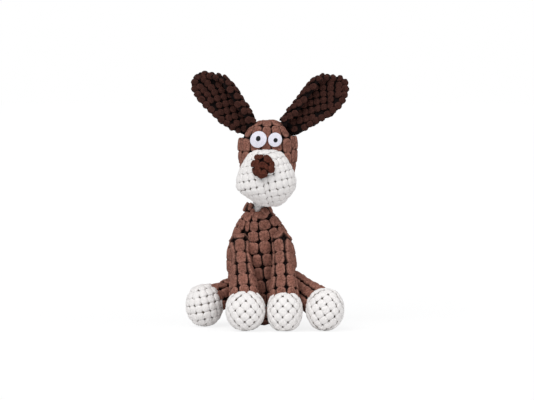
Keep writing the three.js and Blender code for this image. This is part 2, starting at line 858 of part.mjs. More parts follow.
function addEye(head, side, eye, clearOfMuzzle) {
  const patch = eyeDisc(eye.side, eyeRise, eye.halfWidth, eye.halfHeight, eyeSideCount)
    .intersect(headLayer(sewnGap, eyeThickness))
    .subtract(clearOfMuzzle);
  const pupilSide = eye.side + eye.pupilSide;
  const pupilRise = eyeRise + eye.pupilRise;
  const pupil = eyeDisc(pupilSide, pupilRise, eye.pupilRadius, eye.pupilRadius, pupilSideCount)
    .intersect(headLayer(2 * sewnGap + eyeThickness, pupilThickness))
    .subtract(clearOfMuzzle);
  addPiece(head, `eye_${side}`, patch, finishes.eyeThread);
  addPiece(head, `pupil_${side}`, pupil, finishes.pupilThread);
}

// Ears, each in a frame whose origin is its root and whose Z axis runs to its tip

// The middle line of the ear's cloth at one place along it, from the hanging edge to the
// rolled one, with the direction that faces forward at each point.
function earSection(at) {
  const width = 2 * earHalfWidth * shareAt(earShares, at, 'width');
  const roll = earRoll * shareAt(earShares, at, 'roll');
  const cup = earCup * Math.min(1, at / earShares[1].at);
  const heading = (across) => (across < earRollStartShare
    ? cup * (across / earRollStartShare - 1)
    : roll * (across - earRollStartShare) / (1 - earRollStartShare));
  const points = [];
  const place = new THREE.Vector2();
  for (let column = 0; column <= earColumnCount; column += 1) {
    const across = column / earColumnCount;
    const angle = heading(across);
    points.push({ x: place.x, y: place.y, across, front: [-Math.sin(angle), -Math.cos(angle)] });
    const onward = heading((column + 1 / 2) / earColumnCount);
    place.x += width / earColumnCount * Math.cos(onward);
    place.y -= width / earColumnCount * Math.sin(onward);
  }
  const sides = points.map((point) => point.x);
  const middle = (Math.min(...sides) + Math.max(...sides)) / 2;
  const deepest = Math.max(...points.map((point) => point.y));
  return points.map((point) => ({ ...point, x: point.x - middle, y: point.y - deepest }));
}

// One ply: the cloth between two heights over the middle line, thinner at its edges
function earPly(side, low, high) {
  const layer = (height) => {
    const rows = [];
    for (let row = 0; row <= earRowCount; row += 1) {
      const at = row / earRowCount;
      const columns = earSection(at).map(({ x, y, across, front }) => {
        const edge = (2 * across - 1) ** 4;
        const thin = Math.sign(height) * sewnGap / 2
          + (height - Math.sign(height) * sewnGap / 2) * (1 - edge * (1 - earEdgeShare));
        return new THREE.Vector3(side * (x + front[0] * thin), y + front[1] * thin, at * earLength);
      });
      rows.push(side > 0 ? columns : columns.reverse());
    }
    return rows;
  };
  return slab(layer(high), layer(low));
}

// A solid between a front and a back sheet of points, given as rows that climb
function slab(front, back) {
  const corners = [];
  const face = (...points) => points.forEach((point) => corners.push(point.x, point.y, point.z));
  const quad = (a, b, c, d) => {
    face(a, b, c);
    face(a, c, d);
  };
  const lastRow = front.length - 1;
  const lastColumn = front[0].length - 1;
  for (let row = 0; row < lastRow; row += 1) {
    const above = row + 1;
    for (let column = 0; column < lastColumn; column += 1) {
      const beside = column + 1;
      quad(front[row][column], front[row][beside], front[above][beside], front[above][column]);
      quad(back[row][column], back[above][column], back[above][beside], back[row][beside]);
    }
    quad(front[row][0], front[above][0], back[above][0], back[row][0]);
    quad(front[row][lastColumn], back[row][lastColumn], back[above][lastColumn], front[above][lastColumn]);
  }
  const [frontFoot, backFoot] = [front[0], back[0]];
  const [frontTip, backTip] = [front[lastRow], back[lastRow]];
  for (let column = 0; column < lastColumn; column += 1) {
    const beside = column + 1;
    quad(frontFoot[column], backFoot[column], backFoot[beside], frontFoot[beside]);
    quad(frontTip[column], frontTip[beside], backTip[beside], backTip[column]);
  }
  const geometry = new THREE.BufferGeometry();
  geometry.setAttribute('position', new THREE.Float32BufferAttribute(corners, 3));
  return toSolid(geometry);
}

const earRootLength = 2 * earHalfWidth * earShares[0].width * earRootLengthShare;

function earRootRod(radius, length) {
  return rod(radius, length, new THREE.Vector3(-length / 2, 0, 0), sideways, earRootSideCount);
}

function makeEar(name) {
  const ear = new THREE.Group();
  ear.name = `ear_${name}`;
  const rolledSide = name === 'left' ? 1 : -1;
  const root = earRootRod(earRootRadius, earRootLength);
  const clearOfRoot = earRootRod(earRootRadius + sewnGap, earRootLength + 2 * sewnGap);
  const front = earPly(rolledSide, sewnGap / 2, earFrontPly).subtract(clearOfRoot);
  const back = earPly(rolledSide, -earBackPly, -sewnGap / 2).add(root);
  addPiece(ear, `ear_${name}_front_ply`, front, finishes.chocolatePlush);
  addPiece(ear, `ear_${name}_back_ply`, back, finishes.chocolatePlush);
  return ear;
}

// Stands the ear, or the groove for its root, on the head's upper corner.
function standOnHead(object, name) {
  const side = name === 'left' ? -1 : 1;
  const tilt = side * earTilts[name];
  const outward = new THREE.Vector3(Math.sin(tilt), 0, Math.cos(tilt));
  object.position.set(faceSide + earRootShift + side * earRootSide, earRootSetback, earRootRise);
  object.position.addScaledVector(outward, earRootProud);
  object.rotation.y = tilt;
  object.updateMatrix();
  return object;
}

function earGroove(name) {
  const radius = earRootRadius + earSwingGap;
  const length = earRootLength + 2 * earSwingGap;
  const lying = new THREE.CylinderGeometry(radius, radius, length, earRootSideCount * 2).rotateZ(Math.PI / 2);
  return toSolid(lying.applyMatrix4(standOnHead(new THREE.Object3D(), name).matrix));
}

function makeHead() {
  const head = new THREE.Group();
  head.name = 'head';
  head.position.z = ropeSpan;
  head.rotation.set(0, -ropeLean, headYaw);
  const clearOfMuzzle = stuffed(muzzleForm, -sewnGap);
  const insides = [stuffed(headForm, kernelHollow), stuffed(muzzleForm, hollow), headRopeWay()];
  const grooves = [earGroove('left'), earGroove('right')];
  const cover = cutBy(stuffed(headForm, outside), [clearOfMuzzle, ...insides, ...grooves]);
  const muzzle = cutBy(stuffed(muzzleForm, outside), insides);
  const knotRoom = ball(new THREE.Vector3(), upperKnotRadius + swingGap);
  const fill = cutBy(stuffed(headForm, kernelFilling).add(stuffed(muzzleForm, filling)), [
    knotRoom,
    headRopeWay(),
    ...grooves,
  ]);
  addPiece(head, 'head_cover', cover, finishes.brownPlush);
  addPiece(head, 'muzzle_left_panel', muzzle.subtract(beyondSeam(1)), finishes.whitePlush);
  addPiece(head, 'muzzle_right_panel', muzzle.subtract(beyondSeam(-1)), finishes.whitePlush);
  addPiece(head, 'head_stuffing', fill, finishes.fibreFill);
  addPiece(head, 'nose_patch', stuffed(noseForm).subtract(clearOfMuzzle), finishes.nosePlush);
  addEye(head, 'left', eyes.left, clearOfMuzzle);
  addEye(head, 'right', eyes.right, clearOfMuzzle);
  head.add(standOnHead(makeEar('left'), 'left'), standOnHead(makeEar('right'), 'right'));
  return head;
}

// The whole toy, moved so that the origin is at the middle of its footprint

function makeToy() {
  const toy = new THREE.Group();
  const limbs = [...Object.values(legs), tail];
  const sockets = limbs.map((limb) => rootBall(limb, swingGap));
  const clearOfBody = cutBy(stuffed(bodyForm, -swingGap), limbs.map((limb) => rootBall(limb, rootSlack)));
  const neck = makeNeck();
  neck.add(makeHead());
  toy.add(makeBody(sockets), makeSqueaker(), neck, makeTail(clearOfBody));
  Object.entries(legs).forEach(([name, leg]) => toy.add(makeLeg(name, leg, clearOfBody)));
  const extent = new THREE.Box3().setFromObject(toy, true);
  const middle = extent.getCenter(new THREE.Vector3());
  toy.position.set(-middle.x, -middle.y, -extent.min.z);
  return toy;
}

export default makeToy();
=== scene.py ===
"""Dresses a seated plush dog toy over its CAD frame.

Each cover is a backing cloth, puffed by its stuffing while its seams are held, with rows
of plush kernels sewn over it panel by panel. Meshes and the sizes that a user sets are in
metres; the constants and tables below are in millimetres, unless they say otherwise.
"""

import json
from collections import namedtuple
from math import atan2, ceil, cos, hypot, pi, radians, sin

import bmesh
import bpy
import numpy as np
from bpy.props import FloatProperty, FloatVectorProperty, PointerProperty
from mathutils import Matrix, Vector, noise
from mathutils.bvhtree import BVHTree
from mathutils.kdtree import KDTree


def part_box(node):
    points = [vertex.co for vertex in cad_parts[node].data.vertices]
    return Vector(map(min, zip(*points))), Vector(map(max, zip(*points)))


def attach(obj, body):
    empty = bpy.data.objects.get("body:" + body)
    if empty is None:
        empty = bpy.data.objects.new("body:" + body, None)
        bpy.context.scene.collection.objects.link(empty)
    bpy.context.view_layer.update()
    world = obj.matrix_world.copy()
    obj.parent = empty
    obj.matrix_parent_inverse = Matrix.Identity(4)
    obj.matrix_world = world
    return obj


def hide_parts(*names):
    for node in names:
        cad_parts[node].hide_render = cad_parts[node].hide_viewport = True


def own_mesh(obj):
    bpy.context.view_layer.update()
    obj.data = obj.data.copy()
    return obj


bl_info = {
    "name": "Plush Dog Toy",
    "version": (1, 0, 0),
    "blender": (4, 5, 0),
    "location": "3D View > Sidebar > Plush Dog",
    "description": "Builds the covers, face, rope, stuffing and studio of a seated plush dog toy",
    "category": "Object",
}

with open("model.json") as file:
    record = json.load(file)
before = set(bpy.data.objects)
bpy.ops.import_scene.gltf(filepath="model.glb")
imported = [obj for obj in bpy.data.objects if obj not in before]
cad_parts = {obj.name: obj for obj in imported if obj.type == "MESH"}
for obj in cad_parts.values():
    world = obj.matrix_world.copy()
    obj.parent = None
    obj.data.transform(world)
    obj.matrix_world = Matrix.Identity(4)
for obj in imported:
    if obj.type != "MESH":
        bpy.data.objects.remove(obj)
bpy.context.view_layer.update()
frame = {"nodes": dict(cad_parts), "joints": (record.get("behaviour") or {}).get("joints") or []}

MM = 0.001
JOINTS = {joint["name"]: joint for joint in frame["joints"]}

# The CAD's own sizes in millimetres, from the middle of the toy before it is centred
FRONT_LEFT_ROOT = (-27, -13, 84)
NECK_SIDE, BODY_HEIGHT = -9, 119
FACE_SIDE, NOSE_SIDE, HEAD_YAW = 6.5, 4.9, radians(-4)


def pivot(joint):
    return Vector(JOINTS[joint]["pos_m"])


HOME = pivot("front_left_swing") - Vector(FRONT_LEFT_ROOT) * MM
KNOT = pivot("head_turn")
HOME_PLACE = Matrix.Translation(HOME)
HEAD_PLACE = Matrix.Translation(KNOT) @ Matrix.Rotation(HEAD_YAW, 4, "Z")
UPWARD = Vector((0, 0, 1))
HEAD_FRONT = HEAD_PLACE.to_3x3() @ Vector((0, -1, 0))


def toy_point(x, y, z):
    """A place given in millimetres from the middle of the toy before it is centred."""
    return HOME + Vector((x, y, z)) * MM


def head_point(x, y, z):
    """A place given in millimetres from the knot in the head."""
    return HEAD_PLACE @ (Vector((x, y, z)) * MM)


def level_way(turn):
    """The level direction at an angle from the front."""
    return Vector((sin(turn), -cos(turn), 0))


def square_to(way, out):
    """The direction nearest the way that is square to the other."""
    return (way - out * way.dot(out)).normalized()


def run_along(line):
    """The distance along a line at each of its places."""
    return np.concatenate([[0], np.cumsum(np.linalg.norm(np.diff(line, axis=0), axis=1))])


def point_at(at, run, line):
    """The place at a distance along a line, from the distance of each of its places."""
    return np.array([np.interp(at, run, line[:, axis]) for axis in range(3)])


def row_at(grid, at):
    """What a grid holds between two of its rows."""
    under = min(int(at), len(grid) - 2)
    share = at - under
    return grid[under] * (1 - share) + grid[under + 1] * share


Plush = namedtuple("Plush", "width length pile plan fill rings")
Kernel = namedtuple("Kernel", "place side up out width length pile")
Panel = namedtuple("Panel", "middle left right shift rise")


def upright_kernel(place, up, out, width, length, pile):
    """A kernel that stands out from its place, with its length as near the way up as it goes."""
    up = square_to(up, out)
    return Kernel(place, up.cross(out), up, out, width, length, pile)


# The plan of each cloth's kernels: how square it is, where 2 is round, how its corners are cut
# across and along, how far each kernel fills its pitch across and along, and its rings from
# its foot: how much of the plan each fills, and its height
FLAT_RINGS = ((0.84, -0.62), (1.0, -0.05), (0.965, 0.28), (0.72, 0.46))
ROUND_RINGS = ((0.78, -0.62), (1.0, -0.06), (0.86, 0.28), (0.5, 0.45))
CUTS = {
    "body": ((10, 0.5, 0.7), (0.91, 1.06), FLAT_RINGS),
    "white": ((2.7, 0, 0), (1.13, 1.15), ROUND_RINGS),
    "ear": ((2.2, 0, 0), (1.04, 1.06), ROUND_RINGS)}


# Sizes and colours that a user would change

def size(name, description, default):
    return FloatProperty(
        name=name, description=description, default=default, min=0.0002, precision=5,
        unit="LENGTH")


def colour(name, description, default):
    return FloatVectorProperty(
        name=name, description=description, default=default, size=3, min=0, max=1,
        subtype="COLOR")


class PlushSizes(bpy.types.PropertyGroup):
    body_width: size("Body kernel width", "Width of a kernel on the brown cloth", 0.0103)
    body_length: size("Body kernel length", "Length of a kernel on the brown cloth", 0.0132)
    body_pile: size("Body pile", "Height of the brown kernels over their backing", 0.0042)
    white_width: size("White kernel width", "Width of a kernel on the white cloth", 0.0072)
    white_length: size("White kernel length", "Length of a kernel on the white cloth", 0.0075)
    white_pile: size("White pile", "Height of the white kernels over their backing", 0.0032)
    ear_width: size("Ear kernel width", "Width of a kernel on the ear cloth", 0.0071)
    ear_length: size("Ear kernel length", "Length of a kernel on the ear cloth", 0.0070)
    ear_pile: size("Ear pile", "Height of the ear kernels over their backing", 0.0036)
    backing: size("Backing", "Thickness of the cloth below the kernels", 0.0009)
    voxel: size("Puffing cell", "Cell of the mesh that the stuffing puffs", 0.0046)
    travel: size("Puffing", "Farthest that the stuffing may puff a cover", 0.0012)
    rope_strand: size("Rope strand", "Radius of one strand of the neck rope", 0.0029)


class PlushColours(bpy.types.PropertyGroup):
    brown: colour("Brown", "Tips of the brown kernels", (0.29, 0.122, 0.088))
    # Painted highlight: lighter colour along the edges of the brown kernels, which also tints
    # their sheen
    brown_rim_highlight: colour("Brown rim", "Light edge of the brown kernels", (0.5, 0.25, 0.19))
    # Painted shade: near black on the backing between the brown kernels
    brown_gap_shade: colour("Brown gap", "Backing between the brown kernels", (0.012, 0.006, 0.006))
    white: colour("White", "Tips of the white kernels", (0.88, 0.85, 0.83))
    # Painted highlight: lighter colour along the edges of the white kernels, which also tints
    # their sheen
    white_rim_highlight: colour("White rim", "Edge of the white kernels", (0.9, 0.88, 0.87))
    # Painted shade: grey on the backing between the white kernels
    white_gap_shade: colour("White gap", "Backing between the white kernels", (0.36, 0.3, 0.25))
    chocolate: colour("Chocolate", "Tips of the ear kernels", (0.052, 0.018, 0.013))
    # Painted highlight: lighter colour along the edges of the ear kernels, which also tints their
    # sheen
    chocolate_rim_highlight: colour("Chocolate rim", "Light edge of the ear kernels", (0.12, 0.045, 0.033))
    # Painted shade: near black on the backing between the ear kernels
    chocolate_gap_shade: colour(
        "Chocolate gap", "Backing between the ear kernels", (0.006, 0.003, 0.003))
    nose: colour("Nose", "Tips of the nose kernels", (0.095, 0.024, 0.014))
    # Painted highlight: lighter colour along the edges of the nose kernels, which also tints their
    # sheen
    nose_rim_highlight: colour("Nose rim", "Light edge of the nose kernels", (0.2, 0.07, 0.045))
    # Painted shade: near black on the backing between the nose kernels
    nose_gap_shade: colour("Nose gap", "Backing between the nose kernels", (0.012, 0.004, 0.004))
    eye: colour("Eye", "Thread of the eye patches", (0.8, 0.79, 0.87))
    pupil: colour("Pupil", "Thread of the pupils", (0.005, 0.005, 0.007))
    rope: colour("Rope", "Cotton of the neck rope", (0.95, 0.93, 0.91))
    fill: colour("Fill", "Fibre of the stuffing", (0.85, 0.85, 0.84))
    plastic: colour("Squeaker", "Moulded squeaker parts", (0.78, 0.74, 0.63))
    reed: colour("Reed", "Thin strip in the squeaker's plug", (0.55, 0.06, 0.03))


def sizes():
    return bpy.context.scene.plush_sizes


def colours():
    return bpy.context.scene.plush_colours


def plush(kind):
    """The body's, the white or the ear cloth, in the sizes that are set."""
    measures = (getattr(sizes(), f"{kind}_{key}") for key in ("width", "length", "pile"))
    return Plush(*measures, *CUTS[kind])


# Objects and their meshes

def select_only(obj):
    for other in bpy.context.selected_objects:
        other.select_set(False)
    obj.select_set(True)
    bpy.context.view_layer.objects.active = obj


def new_object(name, places, faces):
    mesh = bpy.data.meshes.new(name)
    mesh.from_pydata(np.asarray(places).tolist(), [], faces)
    mesh.update()
    obj = bpy.data.objects.new(name, mesh)
    bpy.context.collection.objects.link(obj)
    select_only(obj)
    return obj


def placed(name):
    """Names the primitive that was just added, with its place in its mesh."""
    obj = bpy.context.object
    obj.name = obj.data.name = name
    select_only(obj)
    bpy.ops.object.transform_apply(location=True, rotation=True, scale=True)
    return obj


def coords(obj):
    found = np.empty(len(obj.data.vertices) * 3)
    obj.data.vertices.foreach_get("co", found)
    return found.reshape(-1, 3)


def set_coords(obj, places):
    obj.data.vertices.foreach_set("co", np.asarray(places, dtype=float).ravel())
    obj.data.update()


def vertex_normals(obj):
    found = np.empty(len(obj.data.vertices) * 3)
    obj.data.vertex_normals.foreach_get("vector", found)
    return found.reshape(-1, 3)


def copy_of(obj, name):
    twin = obj.copy()
    twin.data = obj.data.copy()
    twin.name = twin.data.name = name
    bpy.context.collection.objects.link(twin)
    select_only(twin)
    return twin


def joined(name, first, *others):
    select_only(first)
    for other in others:
        other.select_set(True)
    bpy.ops.object.join()
    first.name = first.data.name = name
    return first


def face_outward():
    """Turns the faces of the active object outward."""
    bpy.ops.object.mode_set(mode="EDIT")
    bpy.ops.mesh.select_all(action="SELECT")
    bpy.ops.mesh.normals_make_consistent(inside=False)
    bpy.ops.object.mode_set(mode="OBJECT")


def inset_top(obj, insets, poke=False):
    """Insets the upper face by each thickness and depth in turn."""
    bpy.ops.object.mode_set(mode="EDIT")
    bpy.ops.mesh.select_mode(type="FACE")
    bpy.ops.mesh.select_all(action="DESELECT")
    bpy.ops.object.mode_set(mode="OBJECT")
    for polygon in obj.data.polygons:
        polygon.select = polygon.normal.z > 0.5
    bpy.ops.object.mode_set(mode="EDIT")
    for thickness, depth in insets:
        bpy.ops.mesh.inset(thickness=thickness, depth=depth)
    if poke:
        bpy.ops.mesh.poke()
    bpy.ops.object.mode_set(mode="OBJECT")


def remeshed(obj, cell):
    select_only(obj)
    obj.data.remesh_voxel_size = cell
    bpy.ops.object.voxel_remesh()


def discard(*objects):
    for obj in objects:
        bpy.data.objects.remove(obj, do_unlink=True)


def apply_modifier(obj, name, kind, **settings):
    select_only(obj)
    modifier = obj.modifiers.new(name, kind)
    for key, value in settings.items():
        setattr(modifier, key, value)
    bpy.ops.object.modifier_apply(modifier=name)


def cut_by(obj, cutters):
    for cutter in cutters:
        apply_modifier(
            obj, "cut", "BOOLEAN", operation="DIFFERENCE", solver="EXACT", object=cutter)


def ball(name, centre, radius):
    bpy.ops.mesh.primitive_ico_sphere_add(subdivisions=4, radius=radius, location=centre)
    return placed(name)


def tree_of(obj):
    faces = [tuple(polygon.vertices) for polygon in obj.data.polygons]
    return BVHTree.FromPolygons(coords(obj).tolist(), faces)


def height_over(tree, place):
    """How far a place lies outside a closed form, negative within it."""
    near, out, _, _ = tree.find_nearest(place)
    return (place - near).dot(out)


def smooth(obj):
    select_only(obj)
    bpy.ops.object.shade_smooth()


# The stuffed forms of the CAD, from the same shares

BODY_SHARES = (
    (0, 1.18, 1.18), (0.17, 1.12, 1.13), (0.34, 1.02, 1.02), (0.5, 1.01, 0.92),
    (0.64, 0.99, 0.86), (0.75, 0.9, 0.8), (0.84, 0.82, 0.74), (0.92, 0.72, 0.68), (1, 0.62, 0.62))
HEAD_SHARES = (
    (0, 0.86, 0.86), (0.25, 0.92, 0.95), (0.5, 0.98, 1), (0.78, 1.05, 1), (0.9, 0.95, 0.97),
    (1, 0.7, 0.8))
MUZZLE_SHARES = (
    (0, 0.6, 0.74), (0.14, 0.75, 0.88), (0.24, 0.92, 0.96), (0.34, 1, 1), (0.5, 0.965, 1),
    (0.62, 0.915, 0.97), (0.8, 0.81, 0.9), (1, 0.77, 0.84))
NOSE_SHARES = (
    (0, 0.3, 0.8), (0.25, 0.78, 0.95), (0.55, 1.02, 1), (0.8, 0.94, 1), (1, 0.76, 1))
PLAIN_SHARES = ((0, 1, 1), (1, 1, 1))

Outline = namedtuple("Outline", "spine width depth shares fullness")
Leg = namedtuple("Leg", "root radius waist ankle paw height width depth fullness")

BODY = Outline(((-4, 18, -0.5), (-4, 18, 59.5), (-9, 0, 119)), 36, 34, BODY_SHARES, 0.5)
HEAD = Outline(
    ((FACE_SIDE, 8, -16), (FACE_SIDE, 8, 21), (FACE_SIDE, 8, 59)), 31.2, 28, HEAD_SHARES, 0.5)
MUZZLE = Outline(
    ((FACE_SIDE, -15, -28), (FACE_SIDE, -15, 1.25), (FACE_SIDE, -15, 30.5)),
    31.7, 32, MUZZLE_SHARES, 0.5)
NOSE = Outline(
    ((NOSE_SIDE, -49.5, -1), (NOSE_SIDE, -44.5, 12.5), (NOSE_SIDE, -39.5, 26)),
    12.8, 8.5, NOSE_SHARES, 0.5)
LEGS = {
    "front_left": Leg((-27, -13, 84), 11.5, 9.6, 15.6, (-21.2, -47), 42, 20.8, 22, 0.85),
    "front_right": Leg((14.5, -18, 86), 11.5, 10, 15.8, (17.4, -47), 40.5, 18.7, 21, 0.62),
    "hind_left": Leg((-37, 15, 33.5), 14.5, 13, 17.2, (-62.4, -5), 44, 19.9, 20.5, 0.85),
    "hind_right": Leg((28, 8, 40), 15, 14.5, 17, (57, -45), 43.5, 20, 20.5, 0.85),
}
TAIL_ROOT, TAIL_RADIUS, TAIL_LENGTH, TAIL_RISE = (-4, 50, 27), 8.5, 30, radians(40)
TAIL_WAY = Vector((0, cos(TAIL_RISE), sin(TAIL_RISE)))
# Distance from the root and radius there, and how far the tip is rounded
TAIL_STOPS, TAIL_TIP = ((0, 6.4), (TAIL_LENGTH / 2, 6.4), (TAIL_LENGTH, 7.5)), 7.5
# The room between the body and a limb that turns in it
SWING_GAP = 0.8


def stuffed(outline, inset=0.0, rings=34, sides=48):
    """The rings of a stuffed form drawn in by the inset, with its two ends, in millimetres."""
    start, bend, end = (np.array(point, float) for point in outline.spine)
    share = np.linspace(0, 1, 201)[:, None]
    line = (1 - share) ** 2 * start + 2 * share * (1 - share) * bend + share ** 2 * end
    run = run_along(line)
    length = run[-1]
    at_share, widths, depths = np.array(outline.shares).T

    def along(distance):
        held = min(max(distance, 0), length)
        place = point_at(held, run, line)
        step = line[1] - line[0] if distance < 0 else line[-1] - line[-2]
        return place + step / np.linalg.norm(step) * (distance - held)

    turn = np.linspace(0, 2 * pi, sides, endpoint=False)
    tilt = pi * (np.arange(rings + 1) / rings - 0.5)
    at = (1 + np.sin(tilt)) / 2
    swell = np.maximum(0, np.cos(tilt)) ** outline.fullness
    width = outline.width * np.interp(at, at_share, widths) * swell
    depth = outline.depth * np.interp(at, at_share, depths) * swell
    found = []
    for ring in range(1, rings):
        rise = (at[ring + 1] - at[ring - 1]) * length
        spread = (width[ring + 1] + depth[ring + 1] - width[ring - 1] - depth[ring - 1]) / 2
        reach = hypot(rise, spread)
        centre = along(at[ring] * length + inset * spread / reach)
        drawn = inset * rise / reach
        found.append(np.stack([
            centre[0] + (width[ring] - drawn) * np.cos(turn),
            centre[1] + (depth[ring] - drawn) * np.sin(turn),
            np.full(sides, centre[2])], axis=1))
    return np.array(found), along(inset), along(length - inset)


def closed_form(name, rings, start, end, frame_place):
    """A closed mesh over rings of points in millimetres, set in its own frame."""
    count, sides = len(rings), len(rings[0])
    places = np.concatenate([rings.reshape(-1, 3), [start], [end]]) * MM
    faces = []
    for side in range(sides):
        beside = (side + 1) % sides
        faces.append((count * sides, beside, side))
        last = (count - 1) * sides
        faces.append((count * sides + 1, last + side, last + beside))
        for ring in range(count - 1):
            low, high = ring * sides, (ring + 1) * sides
            faces.append((low + side, low + beside, high + beside, high + side))
    obj = new_object(name, places, faces)
    obj.data.transform(frame_place)
    return obj


def stuffed_object(name, outline, inset, frame_place):
    return closed_form(name, *stuffed(outline, inset), frame_place)


def limb_object(name, root, direction, radius, stops, inset, tip=0.0):
    """A round root with a tube of the given stops from it, and a round tip if it has one."""
    length = stops[-1][0]
    run = np.concatenate([
        -(radius - inset) * np.cos(np.linspace(0, pi / 2, 8)),
        np.linspace(0, length, 28)[1:],
        length + (tip - inset) * np.sin(np.linspace(0, pi / 2, 8))[1:] if tip else []])
    tube = np.interp(run, *np.array(stops).T) - inset
    tube[run < 0] = 0
    if tip:
        beyond = run > length
        tube[beyond] = np.sqrt(np.maximum(0, (tip - inset) ** 2 - (run[beyond] - length) ** 2))
    root_ball = np.sqrt(np.maximum(0, (radius - inset) ** 2 - run ** 2))
    thick = np.maximum(tube, root_ball)
    axis = Vector(direction).normalized()
    side = axis.cross(Vector((0, 1, 0.2))).normalized()
    over = axis.cross(side)
    turn = np.linspace(0, 2 * pi, 40, endpoint=False)
    spokes = np.outer(np.cos(turn), side) + np.outer(np.sin(turn), over)
    kept = thick > 0.5
    root = np.array(root, float)
    rings = np.array([root + np.array(axis) * at + spokes * wide
                      for at, wide in zip(run[kept], thick[kept])])
    start = root + np.array(axis) * run[0]
    end = root + np.array(axis) * run[-1]
    obj = closed_form(name, rings, start, end, HOME_PLACE)
    face_outward()
    return obj


# How high the heart of a paw is, as a share of the paw's height
PAW_HEART = 0.54


def leg_line(leg):
    """From the middle of a leg's root to the heart of its paw."""
    root = Vector(leg.root)
    heart = Vector((*leg.paw, leg.height * PAW_HEART))
    return root, heart


def sleeve_object(name, leg, inset):
    root, heart = leg_line(leg)
    length = (heart - root).length
    stops = ((0, leg.waist), (length * 0.18, leg.waist),
             (length * 0.45, (leg.waist + leg.ankle) / 2), (length * 0.72, leg.ankle),
             (length, leg.ankle))
    return limb_object(name, leg.root, heart - root, leg.radius, stops, inset)


def paw_outline(leg):
    x, y = leg.paw
    spine = ((x, y, -0.5), (x, y, leg.height / 2), (x, y, leg.height))
    return Outline(spine, leg.width, leg.depth, PLAIN_SHARES, leg.fullness)


def tail_object(name, inset):
    return limb_object(
        name, TAIL_ROOT, TAIL_WAY, TAIL_RADIUS, TAIL_STOPS, inset, tip=TAIL_TIP)


# Puffing: the stuffing presses the backing out between its seams

PRESS = {
    "quality": 4, "mass": 0.15, "tension_stiffness": 8, "compression_stiffness": 8,
    "bending_stiffness": 0.2, "use_pressure": True, "uniform_pressure_force": 4,
    "vertex_group_mass": "seams"}
PRESS_STEPS = 20
# How far from a seam the cloth is held, in cells, and the share of the travel that a quick
# build puffs it by
SEAM_HOLD, QUICK_PUFF = 1.2, 0.8


def puffed(obj, seams):
    """Remeshes a form evenly, presses it out as its stuffing would, and smooths it."""
    form = tree_of(obj)
    most = sizes().travel
    remeshed(obj, sizes().voxel)
    apply_modifier(obj, "even", "SMOOTH", factor=0.5, iterations=2)
    before = coords(obj)
    held = obj.vertex_groups.new(name="seams")
    tree = KDTree(len(seams))
    for index, place in enumerate(seams):
        tree.insert(place, index)
    tree.balance()
    for index, place in enumerate(before):
        far = tree.find(place)[2] if len(seams) else 1
        held.add([index], max(0.0, 1 - far / (SEAM_HOLD * sizes().voxel)), "REPLACE")
    cloth = obj.modifiers.new("stuffing", "CLOTH")
    for key, value in PRESS.items():
        setattr(cloth.settings, key, value)
    cloth.settings.effector_weights.gravity = 0
    cloth.collision_settings.use_collision = False
    for step in range(1, PRESS_STEPS + 1):
        bpy.context.scene.frame_set(step)
    select_only(obj)
    bpy.ops.object.modifier_apply(modifier="stuffing")
    bpy.context.scene.frame_set(1)
    lift = np.linalg.norm(coords(obj) - before, axis=1)
    obj.vertex_groups.clear()
    set_heights(obj, form, np.minimum(lift, most))
    apply_modifier(obj, "finer", "SUBSURF", levels=1, render_levels=1)


# A vertex nearer to the form than this, in metres, is moved along the form's own way out
TOUCHING = 0.0002


def set_heights(obj, form, heights):
    """Sets each vertex at its own height over the form, whatever smoothing took from it."""
    found = []
    for place, height in zip(coords(obj), heights):
        near, out, _, _ = form.find_nearest(Vector(place))
        away = Vector(place) - near
        out = away.normalized() if away.dot(out) > 0 and away.length > TOUCHING else out
        found.append(near + out * height)
    set_coords(obj, found)


# Wrapping: rows of places over a form, seen from a line inside it

# The least share of its size that a cut kernel keeps, the least share of its pile, and how the
# rows change where they lie diagonally
SLIVER, LOW_PILE = 0.4, 0.45
STAGGER_WIDTH, STAGGER_LENGTH = 1.414, 0.707


def cells(first, last, middle, wide):
    """Cuts a row into pieces of one width round its middle, with no sliver at either end."""
    if last - first < SLIVER * wide:
        return []
    steps = np.arange(np.floor((first - middle) / wide), np.ceil((last - middle) / wide) + 1)
    cuts = [cut for cut in middle + (steps - 0.5) * wide
            if first + SLIVER * wide < cut < last - SLIVER * wide]
    edges = [first, *cuts, last]
    if len(edges) > 3:
        for end, inner, beyond in ((0, 1, 2), (-1, -2, -3)):
            if abs(edges[end] - edges[inner]) > 1.01 * wide:
                edges[inner] = (edges[end] + edges[beyond]) / 2
    return edges


